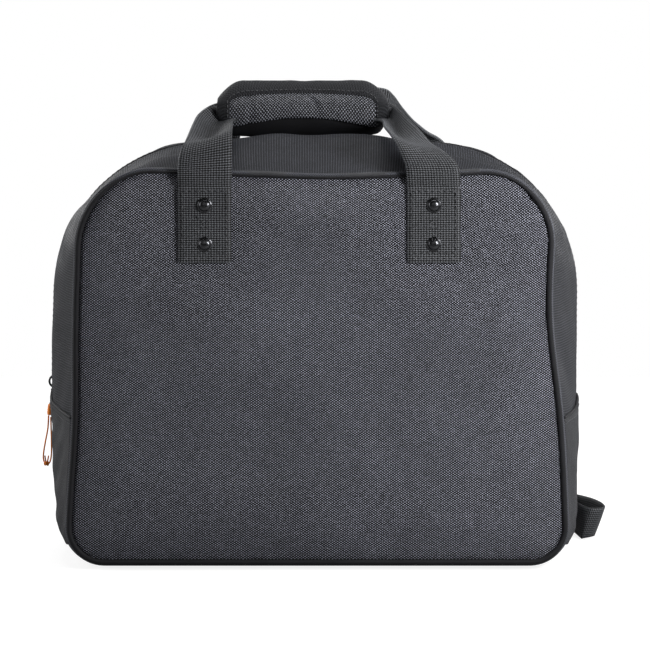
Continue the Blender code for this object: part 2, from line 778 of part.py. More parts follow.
def make_harness():
    face = HALF_DEPTH + GAP
    yoke = rounded_rectangle(YOKE_SIZE[0], YOKE_SIZE[1], YOKE_CORNER_R, 3)
    yoke = [point + Vector((0.0, STRAP_TOP_Z + GAP + YOKE_SIZE[1] / 2)) for point in yoke]
    flat_solid("harness_yoke", "shell", [yoke], face + YOKE_T / 2, YOKE_T)
    for side, sign in (("left", -1), ("right", 1)):
        flat_solid("shoulder_strap_" + side, "shell", [strap_outline(sign)], face + HARNESS_T / 2, HARNESS_T)
        centre = Vector((sign * LOCK_X, LOCK_Z))
        frame = [centre + point for point in rounded_rectangle(LOCK_SIZE[0], LOCK_SIZE[1], 0.003, 2)]
        slots = []
        for rise in (-LOCK_SLOT_Z, LOCK_SLOT_Z):
            slot = rounded_rectangle(STRAP_WEB_W + 0.001, LOCK_SLOT_H, 0.001, 1)
            slots.append([centre + Vector((0.0, rise)) + point for point in slot])
        flat_solid("ladder_lock_" + side, "buckle", [frame] + slots, face + LOCK_T / 2, LOCK_T)
        anchor = [Vector((sign * x, z)) for x, z in ANCHOR]
        flat_solid("strap_anchor_" + side, "webbing", [anchor], face + ANCHOR_T / 2, ANCHOR_T)
    make_left_strap_webbing(face)
    make_right_strap_webbing()


def strap_outline(sign):
    """Padded shoulder strap: it curves outwards on its way down and ends in a round tip."""
    steps = 7
    inner = []
    outer = []
    for step in range(steps + 1):
        share = step / steps
        z = STRAP_TOP_Z + (STRAP_LOW_Z - STRAP_TOP_Z) * share
        centre = STRAP_TOP_X + (LOCK_X - STRAP_TOP_X) * share ** STRAP_SWEEP
        half = STRAP_TOP_HALF_W + (STRAP_LOW_HALF_W - STRAP_TOP_HALF_W) * share
        inner.append(Vector((sign * (centre - half), z)))
        outer.append(Vector((sign * (centre + half), z)))
    return inner + outer[::-1]


def make_left_strap_webbing(face):
    half = STRAP_WEB_W / 2
    top = LOCK_Z - LOCK_SIZE[1] / 2 - GAP
    outline = [Vector((-LOCK_X - half, top)), Vector((-LOCK_X + half, top)),
               Vector((-LOCK_X + half - 0.002, top - 0.014)),
               Vector((-0.1380, 0.0200)), Vector((-0.1520, 0.0400))]
    flat_solid("strap_webbing_left", "webbing", [outline], face + ANCHOR_T + GAP + STRAP_WEB_T / 2 + 0.0002,
               STRAP_WEB_T)


def make_right_strap_webbing():
    """Loose webbing: it leaves the ladder lock, stands on edge on the floor and loops out past the side."""
    top = LOCK_Z - LOCK_SIZE[1] / 2 - GAP
    route = [
        ((LOCK_X, 0.1236, top), (1.0, 0.0, 0.0)),
        ((LOCK_X + 0.004, 0.1245, top - 0.013), (0.97, 0.0, 0.24)),
        ((0.0960, 0.1262, 0.0480), (0.70, 0.0, 0.71)),
        ((0.1300, 0.1275, 0.0300), (0.35, 0.0, 0.94)),
        ((0.1700, 0.1305, 0.0165), (0.12, 0.0, 0.99)),
        ((0.2010, 0.1225, 0.0134), (0.0, 0.0, 1.0)),
        ((0.2145, 0.1000, 0.0130), (0.05, 0.0, 1.0)),
        ((0.2200, 0.0740, 0.0130), (0.20, 0.0, 0.98)),
        ((0.2205, 0.0520, 0.0130), (0.34, 0.0, 0.94)),
        ((0.2165, 0.0425, 0.0130), (0.38, 0.0, 0.925)),
        ((0.2095, 0.0405, 0.0130), (0.30, 0.0, 0.95)),
        ((0.2060, 0.0480, 0.0130), (0.12, 0.0, 0.99)),
        ((0.2035, 0.0640, 0.0130), (0.03, 0.0, 1.0)),
        ((0.2000, 0.0850, 0.0138), (0.0, 0.0, 1.0)),
        ((0.1950, 0.1090, 0.0165), (0.05, 0.0, 1.0)),
        ((0.1860, 0.1238, 0.0235), (0.30, 0.0, 0.95)),
        ((0.1620, 0.1242, 0.0310), (0.45, 0.0, 0.89)),
    ]
    vertices = []
    for centre, across in route:
        reach = Vector(across).normalized() * (STRAP_WEB_W / 2 - GAP)
        vertices.append(Vector(centre) - reach)
        vertices.append(Vector(centre) + reach)
    webbing = add_mesh("strap_webbing_right", "webbing", vertices, grid_faces(len(route), 2, flip=False))
    add_solidify(webbing, STRAP_WEB_T, 0)


# ---------------------------------------------------------------- build

def main():
    front_half = make_pivot("front_half_pivot", (0.0, 0.0, PIVOT_Z))
    front_handle = make_pivot("front_handle_pivot", (0.0, -HINGE_Y, HINGE_Z))
    rear_handle = make_pivot("rear_handle_pivot", (0.0, HINGE_Y, HINGE_Z))
    leaf_y, leaf_z = leaf_section()[0]
    leaf = make_pivot("grip_leaf_pivot", (0.0, leaf_y, leaf_z))
    slider = make_pivot("zip_slider_pivot", (SLIDER_X, 0.0, PIVOT_Z))
    pull = make_pivot("zip_pull_pivot", (PULL_X, 0.0, PULL_Z))
    make_side_band(front_half)
    make_zip_tapes(front_half)
    make_panels(front_half)
    make_piping(front_half)
    make_pockets()
    make_tabs_and_rivets(front_half)
    make_front_handle(front_handle)
    make_rear_handle(rear_handle)
    make_grip(front_handle, leaf)
    make_slider(slider)
    make_pull(pull)
    make_base_board()
    make_ball_cup()
    make_harness()


clear_scene()
BAG = new_collection("bowling_ball_bag")
CUTTERS = new_collection("cutters")
MATERIALS = make_materials()
CENTRE = bpy.data.objects.new("centre", None)
BAG.objects.link(CENTRE)
main()
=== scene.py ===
"""Bowling ball bag with a padded grip, riveted handles, a wide zip and a back harness."""

import json
import math

import bpy
import numpy as np
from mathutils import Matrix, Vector
from mathutils.bvhtree import BVHTree


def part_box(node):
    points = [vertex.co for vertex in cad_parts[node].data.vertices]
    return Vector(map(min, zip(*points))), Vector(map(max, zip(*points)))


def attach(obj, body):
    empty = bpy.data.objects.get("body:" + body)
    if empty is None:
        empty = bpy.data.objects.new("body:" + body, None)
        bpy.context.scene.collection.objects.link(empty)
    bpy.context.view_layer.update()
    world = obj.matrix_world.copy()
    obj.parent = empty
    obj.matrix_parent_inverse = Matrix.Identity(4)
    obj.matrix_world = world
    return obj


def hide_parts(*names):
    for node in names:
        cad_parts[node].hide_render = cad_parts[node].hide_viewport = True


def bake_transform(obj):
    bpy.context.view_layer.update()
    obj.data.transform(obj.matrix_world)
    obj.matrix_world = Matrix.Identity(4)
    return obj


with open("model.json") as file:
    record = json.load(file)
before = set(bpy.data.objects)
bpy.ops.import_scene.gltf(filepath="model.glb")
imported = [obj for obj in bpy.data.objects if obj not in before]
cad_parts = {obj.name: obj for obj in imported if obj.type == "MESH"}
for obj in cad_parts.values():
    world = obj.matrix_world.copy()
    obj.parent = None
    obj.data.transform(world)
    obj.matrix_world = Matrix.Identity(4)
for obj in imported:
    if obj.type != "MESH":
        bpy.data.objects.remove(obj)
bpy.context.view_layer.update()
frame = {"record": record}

# ---------------------------------------------------------------- sizes, in metres

# The bag stands on its base, centred, with its front towards -Y
HALF_DEPTH = -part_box("front_panel_upper")[0].y
BAND_EDGE = 0.1147           # the side band meets the panels here
SEAM_Y = 0.1172              # the piping runs round the outline at this depth
PANEL_FOOT = 0.0055
PANEL_TOP = 0.292
LOW_HALF_W = 0.1845
HIGH_HALF_W = 0.1735
LOW_CORNER_R = 0.026
HIGH_CORNER_R = 0.055
LOW_BULGE = 0.0115           # how much further out the band is at mid-depth
HIGH_BULGE = 0.0250
TOP_BULGE = 0.0185
LOW_R_GAIN = 0.008
HIGH_R_GAIN = 0.057
FOOT_RATE = 2.6
BULGE_POWER = 2.4
BAND_T = 0.0028

JOINTS = {joint["name"]: joint for joint in frame["record"]["behaviour"]["joints"]}
ZIP_END_Z = JOINTS["mouth_open"]["pos_m"][2]
ZIP_SLOT = 0.0088            # half width of the slot between the two bands of fabric
COIL_PITCH = 0.0026
WELT_R = 0.0021
FLANGE_R = 0.0017
PANEL_T = 0.0048

POCKET_EDGE = 0.108
POCKET_MID_Z = 0.1180
POCKET_DROP = 0.007          # the mouth is this much lower at the panels
POCKET_LOW_Z = 0.0155
POCKET_T = 0.0016

WEBBING_T = 0.0022
FRONT_BAR_Y = -0.016         # middle of the grip
GRIP_LEFT, GRIP_RIGHT = -0.0753, 0.0532
GRIP_Z = 0.3402
GRIP_HALF_Y = 0.0163
GRIP_HALF_Z = 0.0181
GRIP_HANG = 0.0092           # how much further it hangs below
FLAP_T = 0.0024

STRAP_W = 0.025              # the harness webbing
STRAP_T = 0.0016


# ---------------------------------------------------------------- small maths

def smooth(value, start, end):
    """0 before start, 1 after end, and an even curve between them."""
    share = np.clip((np.asarray(value, float) - start) / (end - start), 0.0, 1.0)
    return share * share * (3 - 2 * share)


def bell(value, centre, width):
    return np.exp(-((np.asarray(value, float) - centre) / width) ** 2)


def ripple(points, wavelength, seed, stretch=(1.0, 1.0, 1.0)):
    """Smooth uneven waves through space, about -1.5 to 1.5; stretch above 1 shortens them along an axis."""
    rng = np.random.default_rng(seed)
    total = 0.0
    waves = 7
    for _ in range(waves):
        direction = rng.normal(size=3) * stretch
        direction /= np.linalg.norm(direction)
        turn = 2 * math.pi / (wavelength * rng.uniform(0.7, 1.5))
        total = total + np.sin(points @ direction * turn + rng.uniform(0, 2 * math.pi))
    return total / math.sqrt(waves)


def spread(*values):
    """Values spread over one grid, as the last axis of an array."""
    return np.stack(np.broadcast_arrays(*values), axis=-1)


def unit(vectors):
    vectors = np.asarray(vectors, float)
    return vectors / np.maximum(np.linalg.norm(vectors, axis=-1, keepdims=True), 1e-12)


def line_lengths(points):
    steps = np.linalg.norm(np.diff(points, axis=0), axis=1)
    return np.concatenate([[0.0], np.cumsum(steps)])


def even(points, count):
    """The same line with count evenly spaced points."""
    points = np.asarray(points, float)
    lengths = line_lengths(points)
    wanted = np.linspace(0, lengths[-1], count)
    return np.stack([np.interp(wanted, lengths, points[:, k]) for k in range(points.shape[1])], axis=1)


def through(points, steps):
    """Catmull-Rom curve through the points, steps to a stretch."""
    points = np.asarray(points, float)
    line = []
    for index in range(len(points) - 1):
        before = points[max(index - 1, 0)]
        here = points[index]
        there = points[index + 1]
        beyond = points[min(index + 2, len(points) - 1)]
        for step in range(steps):
            t = step / steps
            line.append(0.5 * (2 * here + (there - before) * t
                               + (2 * before - 5 * here + 4 * there - beyond) * t * t
                               + (3 * here - before - 3 * there + beyond) * t ** 3))
    line.append(points[-1])
    return np.array(line)


def grid_normals(grid, wrap=False):
    """Unit normals of a grid of points, columns across rows."""
    if wrap:
        padded = np.concatenate([grid[:, -1:], grid, grid[:, :1]], axis=1)
        across = np.gradient(padded, axis=1)[:, 1:-1]
    else:
        across = np.gradient(grid, axis=1)
    along = np.gradient(grid, axis=0)
    return unit(np.cross(across, along))


# ---------------------------------------------------------------- the bag's form

def fullness(y):
    """0 where the side band meets a panel, 1 at mid-depth."""
    return 1 - np.minimum(1.0, np.abs(y) / BAND_EDGE) ** BULGE_POWER


def corner_arc(before, corner, after, radius, count):
    inward = unit(np.subtract(before, corner))
    outward = unit(np.subtract(after, corner))
    angle = math.acos(float(np.dot(inward, outward)))
    reach = radius / math.tan(angle / 2)
    centre = corner + unit(inward + outward) * radius / math.sin(angle / 2)
    first = corner + inward * reach - centre
    last = corner + outward * reach - centre
    start = math.atan2(first[1], first[0])
    sweep = (math.atan2(last[1], last[0]) - start + math.pi) % (2 * math.pi) - math.pi
    angles = start + sweep * np.linspace(0, 1, count)
    return centre + radius * np.stack([np.cos(angles), np.sin(angles)], axis=1)


def half_outline(swell, outset=0.0):
    """Right half of the outline in X and Z, from the bottom centre up to the top centre."""
    low = LOW_HALF_W + LOW_BULGE * swell + outset
    high = HIGH_HALF_W + HIGH_BULGE * swell + outset
    base = PANEL_FOOT * (1 - min(1.0, swell * FOOT_RATE)) - outset
    top = PANEL_TOP + TOP_BULGE * swell + outset
    corners = np.array([(0.0, base), (low, base), (high, top), (0.0, top)])
    low_arc = corner_arc(*corners[:3], LOW_CORNER_R + LOW_R_GAIN * swell + outset, 16)
    high_arc = corner_arc(*corners[1:4], HIGH_CORNER_R + HIGH_R_GAIN * swell + outset, 32)
    return np.concatenate([corners[:1], low_arc, high_arc, corners[3:]])


def settle(points):
    """How the standing bag differs from its even outline: crest, sags and a drawn-in right edge."""
    points = np.array(points, float)
    x, y, z = points[..., 0], points[..., 1], points[..., 2]
    front = smooth(-y, 0.0, 0.112)
    top = smooth(z, 0.245, 0.287)
    side = smooth(np.abs(x), 0.06, 0.165)
    drawn_in = -0.0066 * bell(z, 0.190, 0.062) * (x > 0)
    leaning = 0.0022 * bell(z, 0.110, 0.050) * (x < 0)
    out_left = -0.0050 * bell(z, 0.130, 0.090) * (x < 0) * (1 - front) * smooth(-y, -0.10, 0.0)
    seam_wave = 0.0024 * bell(x, -0.125, 0.040) + 0.0020 * bell(x, 0.140, 0.030)
    seam_wave = seam_wave - 0.0022 * bell(x, 0.012, 0.050)
    crest = (-0.0062 + 0.0175 * np.exp(-np.abs(x / 0.090) ** 3)) * bell(y, -0.050, 0.030)
    moved = points.copy()
    moved[..., 0] = x + (drawn_in + leaning) * front * side + out_left * side
    moved[..., 2] = z + seam_wave * front * top + crest * top
    return moved


def outline_table(fractions, outset, depths):
    """X and Z of the outline at each depth and fraction; 0 is the bottom centre, -1 and 1 the top centre."""
    rows = []
    for y in depths:
        line = half_outline(float(fullness(y)), outset)
        lengths = line_lengths(line)
        wanted = np.abs(fractions) * lengths[-1]
        x = np.interp(wanted, lengths, line[:, 0]) * np.sign(fractions)
        rows.append(np.stack([x, np.interp(wanted, lengths, line[:, 1])], axis=1))
    return np.array(rows)


TABLE_DEPTHS = np.linspace(-BAND_EDGE, BAND_EDGE, 75)
LOOP_LENGTH = 2 * float(line_lengths(half_outline(0.6))[-1])


def band_points(fractions, depths, outset=0.0):
    """Points on the bag's band; depths holds one row of depths for each row of points."""
    fractions = np.asarray(fractions, float)
    table = outline_table(fractions, outset, TABLE_DEPTHS)
    points = np.zeros((len(depths), len(fractions), 3))
    for column in range(len(fractions)):
        y = depths[:, column]
        points[:, column, 0] = np.interp(y, TABLE_DEPTHS, table[:, column, 0])
        points[:, column, 1] = y
        points[:, column, 2] = np.interp(y, TABLE_DEPTHS, table[:, column, 1])
    return settle(points)


def whole_loop(count):
    """Fractions once round the bag from its bottom centre, and how far round each one is, in metres."""
    turn = np.linspace(0, 2, count + 1)[:-1]
    return np.where(turn > 1, turn - 2, turn), turn * LOOP_LENGTH / 2


def fraction_at(z, y=0.0):
    """Fraction of the half outline at which it is this high, on its rising side."""
    line = half_outline(float(fullness(y)))
    lengths = line_lengths(line)
    return float(np.interp(z, line[:, 1], lengths / lengths[-1]))


# ---------------------------------------------------------------- mesh builders

STUFFING_PRESSURE = 4.0
STUFFING_FRAMES = 20


def new_object(name, vertices, faces, materials, cloth=None, face_slots=None):
    mesh = bpy.data.meshes.new(name)
    corners = [tuple(int(index) for index in face) for face in faces]
    mesh.from_pydata([tuple(v) for v in np.asarray(vertices, float)], [], corners)
    for material in materials:
        mesh.materials.append(material)
    if face_slots is not None:
        mesh.polygons.foreach_set("material_index", face_slots)
    if cloth is not None:
        attribute = mesh.attributes.new("cloth", "FLOAT_VECTOR", "POINT")
        attribute.data.foreach_set("vector", np.asarray(cloth, np.float32).ravel())
    mesh.update()
    mesh.shade_smooth()
    obj = bpy.data.objects.new(name, mesh)
    bpy.context.scene.collection.objects.link(obj)
    return obj


def finish_piece(obj, body, slot, *nodes):
    """Gives a finished piece its body and hides the CAD nodes that it stands for."""
    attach(obj, body)
    if nodes:
        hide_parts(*nodes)
    return obj


def blend_piece(obj, bodies, ends, slot, *nodes):
    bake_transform(obj)
    if nodes:
        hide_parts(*nodes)
    return obj


def dress(obj, sign, slot, *nodes):
    """Finishes a piece of the front or one of the rear."""
    if sign < 0:
        return blend_piece(obj, ("shell", "front_half"), MOUTH_ENDS, slot, *nodes)
    return finish_piece(obj, "shell", slot, *nodes)


def sewn(name, rows, normal, body, **sizes):
    """One piece of stitching made of some rows of stitches on a flat surface."""
    threads = [stitches("row", row, normal, THREAD, **sizes) for row in rows]
    return finish_piece(joined(name, threads), body, "webbing")


def slab(name, grid, thickness, material, cloth=None, lining=None, wrap=False, flip=False, edge=0.4,
         rim_slot=0):
    """Closed sheet of some thickness under a grid of points, with a rounded edge all round.

    thickness is a number or an array over the grid. wrap closes the grid in its columns.
    rim_slot is the edge's material: 0 the outer face's, 1 the lining's.
    """
    rows, columns = grid.shape[:2]
    normals = grid_normals(grid, wrap) * (-1 if flip else 1)
    depth = np.broadcast_to(np.asarray(thickness, float), (rows, columns))[..., None]
    under = grid - normals * depth
    vertices = [grid.reshape(-1, 3), under.reshape(-1, 3)]
    if cloth is None:
        along = np.concatenate([[0], np.cumsum(np.linalg.norm(np.diff(grid, axis=0), axis=2).mean(1))])
        across = np.concatenate([[0], np.cumsum(np.linalg.norm(np.diff(grid, axis=1), axis=2).mean(0))])
        cloth = spread(across[None, :], along[:, None], 0.0)
    cloths = [cloth.reshape(-1, 3)] * 2
    count = rows * columns
    faces = []
    slots = []
    last = columns if wrap else columns - 1
    for row in range(rows - 1):
        for column in range(last):
            right = (column + 1) % columns
            a, b = row * columns + column, row * columns + right
            c, d = b + columns, a + columns
            top = (a, b, c, d) if not flip else (d, c, b, a)
            faces.append(top)
            faces.append(tuple(count + i for i in reversed(top)))
            slots += [0, 1 if lining else 0]
    if wrap:
        first = [(0, c) for c in range(columns)]
        final = [(rows - 1, c) for c in range(columns)]
        rims = [(first, False), (final, True)]
    else:
        ring = [(0, c) for c in range(columns)] + [(r, columns - 1) for r in range(1, rows)]
        ring += [(rows - 1, c) for c in range(columns - 2, -1, -1)] + [(r, 0) for r in range(rows - 2, 0, -1)]
        rims = [(ring, False)]
    for ring, backwards in rims:
        size = len(ring)
        base = sum(len(v) for v in vertices)
        outer = np.array([grid[r, c] for r, c in ring])
        inner = np.array([under[r, c] for r, c in ring])
        neighbours = []
        for r, c in ring:
            step_r = (r == 0) - (r == rows - 1)
            step_c = 0 if wrap else (c == 0) - (c == columns - 1)
            neighbours.append(grid[r + step_r, c + step_c])
        away = unit(outer - np.array(neighbours))
        swell = np.array([depth[r, c] for r, c in ring]) * edge
        vertices.append((outer + inner) / 2 + away * swell)
        cloths.append(np.array([cloth[r, c] for r, c in ring]))
        for index in range(size):
            after = (index + 1) % size
            o1, o2 = (ring[index][0] * columns + ring[index][1]), (ring[after][0] * columns + ring[after][1])
            m1, m2 = base + index, base + after
            quads = [(o2, o1, m1, m2), (m2, m1, count + o1, count + o2)]
            for quad in quads:
                faces.append(quad if flip == backwards else tuple(reversed(quad)))
                slots.append(rim_slot)
    materials = [material, lining] if lining else [material]
    return new_object(name, np.concatenate(vertices), faces, materials, np.concatenate(cloths), slots)


def stuffed(obj, loose, cap):
    """Fills a padded piece out as cloth with a little pressure inside.

    loose marks the points of its outer layer that are free to move; none moves further than cap.
    """
    mesh = obj.data
    count = len(mesh.vertices)
    start = np.empty(count * 3, np.float32)
    mesh.vertices.foreach_get("co", start)
    start = start.reshape(-1, 3)
    free = np.zeros(count, bool)
    free[:loose.size] = loose.ravel()
    held = obj.vertex_groups.new(name="held")
    held.add([int(index) for index in np.flatnonzero(~free)], 1.0, "REPLACE")
    cloth = obj.modifiers.new("stuffing", "CLOTH")
    cloth.settings.quality = 3
    cloth.settings.mass = 0.3
    cloth.settings.vertex_group_mass = "held"
    cloth.settings.use_pressure = True
    cloth.settings.uniform_pressure_force = STUFFING_PRESSURE
    cloth.settings.effector_weights.gravity = 0.0
    cloth.collision_settings.use_collision = False
    cloth.point_cache.frame_start = 1
    cloth.point_cache.frame_end = STUFFING_FRAMES
    scene = bpy.context.scene
    for number in range(1, STUFFING_FRAMES + 1):
        scene.frame_set(number)
    shaped = obj.evaluated_get(bpy.context.evaluated_depsgraph_get()).to_mesh()
    stop = np.empty(count * 3, np.float32)
    shaped.vertices.foreach_get("co", stop)
    obj.modifiers.remove(cloth)
    obj.vertex_groups.remove(held)
    scene.frame_set(1)
    moved = stop.reshape(-1, 3) - start
    far = np.linalg.norm(moved, axis=1, keepdims=True)
    eased = cap * np.tanh(far / cap)
    mesh.vertices.foreach_set("co", (start + moved * eased / np.maximum(far, 1e-9)).ravel())
    mesh.update()


def frames_along(path, closed):
    """Tangent and two cross directions at each point, turning as little as possible."""
    if closed:
        tangents = unit(np.roll(path, -1, axis=0) - np.roll(path, 1, axis=0))
    else:
        tangents = unit(np.gradient(path, axis=0))
    helper = np.array([0.0, 1.0, 0.0]) if abs(tangents[0][1]) < 0.9 else np.array([1.0, 0.0, 0.0])
    side = unit(np.cross(tangents[0], helper))
    sides = []
    for tangent in tangents:
        side = unit(side - tangent * np.dot(side, tangent))
        sides.append(side)
    sides = np.array(sides)
    return tangents, sides, np.cross(tangents, sides)


def tube(name, path, radius, material, sides=10, closed=False, squash=1.0):
    """Round or oval tube along a path; radius is a number or one for each point."""
    path = np.asarray(path, float)
    _, side, up = frames_along(path, closed)
    radii = np.broadcast_to(np.asarray(radius, float), (len(path),))
    angles = 2 * math.pi * np.arange(sides) / sides
    turns = angles[None, :, None]
    ring = side[:, None] * np.cos(turns) + up[:, None] * np.sin(turns) * squash
    vertices = path[:, None] + ring * radii[:, None, None]
    lengths = line_lengths(path)
    cloth = spread(lengths[:, None], angles[None, :] * float(radii.mean()), 0.0)
    count = len(path)
    faces = []
    for index in range(count if closed else count - 1):
        after = (index + 1) % count
        for k in range(sides):
            n = (k + 1) % sides
            faces.append((index * sides + k, index * sides + n, after * sides + n, after * sides + k))
    if not closed:
        faces.append(tuple(reversed(range(sides))))
        faces.append(tuple((count - 1) * sides + k for k in range(sides)))
    return new_object(name, vertices.reshape(-1, 3), faces, [material], cloth.reshape(-1, 3))


def lathe(name, profile, centre, axis, material, sides=40):
    """Turned solid: profile is (radius, height) from the axis at the top to the axis at the bottom."""
    axis = unit(axis)
    helper = np.array([1.0, 0.0, 0.0]) if abs(axis[0]) < 0.9 else np.array([0.0, 1.0, 0.0])
    side = unit(np.cross(axis, helper))
    up = np.cross(axis, side)
    vertices = [np.asarray(centre) + axis * profile[0][1]]
    faces = []
    angles = 2 * math.pi * np.arange(sides) / sides
    for radius, height in profile[1:-1]:
        for angle in angles:
            spoke = side * math.cos(angle) + up * math.sin(angle)
            vertices.append(np.asarray(centre) + axis * height + spoke * radius)
    vertices.append(np.asarray(centre) + axis * profile[-1][1])
    rings = len(profile) - 2
    for k in range(sides):
        n = (k + 1) % sides
        faces.append((0, 1 + k, 1 + n))
        for ring in range(rings - 1):
            a = 1 + ring * sides
            faces.append((a + k, a + sides + k, a + sides + n, a + n))
        a = 1 + (rings - 1) * sides
        faces.append((a + k, len(vertices) - 1, a + n))
    return new_object(name, vertices, faces, [material], np.array(vertices))


def joined(name, pieces):
    """One object from several, its material slots kept."""
    vertices, faces, slots, cloth, materials = [], [], [], [], []
    base = 0
    for piece in pieces:
        mesh = piece.data
        co = np.zeros(len(mesh.vertices) * 3)
        mesh.vertices.foreach_get("co", co)
        vertices.append(co.reshape(-1, 3))
        values = np.zeros(len(mesh.vertices) * 3, np.float32)
        if "cloth" in mesh.attributes:
            mesh.attributes["cloth"].data.foreach_get("vector", values)
        cloth.append(values.reshape(-1, 3))
        for material in mesh.materials:
            if material not in materials:
                materials.append(material)
        for polygon in mesh.polygons:
            faces.append([base + i for i in polygon.vertices])
            slots.append(materials.index(mesh.materials[polygon.material_index]))
        base += len(mesh.vertices)
        bpy.data.objects.remove(piece)
    return new_object(name, np.concatenate(vertices), faces, materials, np.concatenate(cloth), slots)


def stitches(name, path, normals, material, length=0.0030, gap=0.0016, radius=0.00038):
    """A row of thread stitches lying on a surface along a path."""
    path = np.asarray(path, float)
    lengths = line_lengths(path)
    normals = np.broadcast_to(np.asarray(normals, float), path.shape)
    total = lengths[-1]
    count = max(int(total / (length + gap)), 1)
    pitch = total / count

    def at(distance):
        place = np.array([np.interp(distance, lengths, path[:, k]) for k in range(3)])
        normal = unit(np.array([np.interp(distance, lengths, normals[:, k]) for k in range(3)]))
        return place, normal

    vertices, faces, cloth = [], [], []
    shares = ((0.0, 0.25, -0.5), (0.12, 0.85, 0.35), (0.5, 1.0, 0.85), (0.88, 0.85, 0.35), (1.0, 0.25, -0.5))
    sides = 6
    for index in range(count):
        begin = index * pitch + gap / 2
        stop = (index + 1) * pitch - gap / 2
        head, _ = at(begin)
        tail, _ = at(stop)
        along = unit(tail - head)
        base = len(vertices)
        for share, width, lift in shares:
            place, normal = at(begin + (stop - begin) * share)
            side = unit(np.cross(normal, along))
            for k in range(sides):
                angle = 2 * math.pi * k / sides
                offset = side * math.cos(angle) + normal * (math.sin(angle) + lift)
                vertices.append(place + offset * radius * width)
                cloth.append((begin, 0.0, 0.0))
        for ring in range(len(shares) - 1):
            for k in range(sides):
                n = (k + 1) % sides
                a = base + ring * sides
                faces.append((a + k, a + n, a + sides + n, a + sides + k))
        faces.append(tuple(base + k for k in reversed(range(sides))))
        faces.append(tuple(base + (len(shares) - 1) * sides + k for k in range(sides)))
    return new_object(name, vertices, faces, [material], cloth)


# ---------------------------------------------------------------- materials

def add_node(tree, kind, settings=None, **inputs):
    node = tree.nodes.new(kind)
    for key, value in (settings or {}).items():
        setattr(node, key, value)
    for key, value in inputs.items():
        name = key.replace("_", " ")
        socket = node.inputs[int(key[2:])] if key.startswith("in") and key[2:].isdigit() else node.inputs[name]
        if isinstance(value, bpy.types.NodeSocket):
            tree.links.new(value, socket)
        else:
            socket.default_value = value
    return node


def maths(tree, operation, first, second=None):
    node = add_node(tree, "ShaderNodeMath", {"operation": operation}, in0=first)
    if isinstance(second, bpy.types.NodeSocket):
        tree.links.new(second, node.inputs[1])
    elif second is not None:
        node.inputs[1].default_value = second
    return node.outputs[0]


def blended(tree, first, second, share):
    """The first value with that share of the second."""
    kept = maths(tree, "MULTIPLY", first, 1 - share)
    return maths(tree, "ADD", kept, maths(tree, "MULTIPLY", second, share))


SHEEN_TINT = (0.60, 0.62, 0.68, 1.0)


def new_material(name, roughness, specular=0.3, metallic=0.0, sheen=0.0):
    material = bpy.data.materials.new(name)
    material.use_nodes = True
    tree = material.node_tree
    shader = tree.nodes["Principled BSDF"]
    shader.inputs["Roughness"].default_value = roughness
    shader.inputs["Metallic"].default_value = metallic
    shader.inputs["Specular IOR Level"].default_value = specular
    shader.inputs["Sheen Weight"].default_value = sheen
    shader.inputs["Sheen Roughness"].default_value = 0.4
    shader.inputs["Sheen Tint"].default_value = SHEEN_TINT
    return material, tree, shader


def noise(tree, scale, detail=3.0, vector=None):
    node = add_node(tree, "ShaderNodeTexNoise", None, Scale=scale, Detail=detail)
    if vector is None:
        vector = add_node(tree, "ShaderNodeTexCoord").outputs["Object"]
    tree.links.new(vector, node.inputs["Vector"])
    return node.outputs["Fac"]


def ranged(tree, value, low, high, to_low, to_high):
    node = add_node(tree, "ShaderNodeMapRange", {"clamp": True}, Value=value)
    for key, number in (("From Min", low), ("From Max", high), ("To Min", to_low), ("To Max", to_high)):
        node.inputs[key].default_value = number
    return node.outputs["Result"]


def cloth_axes(tree, wobble):
    """The cloth's own coordinates in metres, a little uneven as real threads are."""
    cloth = add_node(tree, "ShaderNodeAttribute", {"attribute_name": "cloth"})
    split = add_node(tree, "ShaderNodeSeparateXYZ", None, Vector=cloth.outputs["Vector"])
    drift = noise(tree, 90.0, 2.0)
    shift = maths(tree, "MULTIPLY", maths(tree, "SUBTRACT", drift, 0.5), wobble)
    return (maths(tree, "ADD", split.outputs["X"], shift), maths(tree, "ADD", split.outputs["Y"], shift))


def wave(tree, value, pitch):
    return maths(tree, "COSINE", maths(tree, "MULTIPLY", value, 2 * math.pi / pitch))


def mix_colour(tree, share, first, second):
    node = add_node(tree, "ShaderNodeMix", {"data_type": "RGBA"})
    for socket, value in ((node.inputs[0], share), (node.inputs[6], first), (node.inputs[7], second)):
        if isinstance(value, bpy.types.NodeSocket):
            tree.links.new(value, socket)
        elif isinstance(value, tuple):
            socket.default_value = (*value, 1.0)
        else:
            socket.default_value = value
    return node.outputs[2]


def shade(tree, colour, factor):
    node = add_node(tree, "ShaderNodeVectorMath", {"operation": "SCALE"}, in0=colour)
    tree.links.new(factor, node.inputs["Scale"])
    return node.outputs[0]


def add_bump(tree, shader, height, distance):
    bump = add_node(tree, "ShaderNodeBump", None, Height=height, Distance=distance, Strength=1.0)
    tree.links.new(bump.outputs["Normal"], shader.inputs["Normal"])


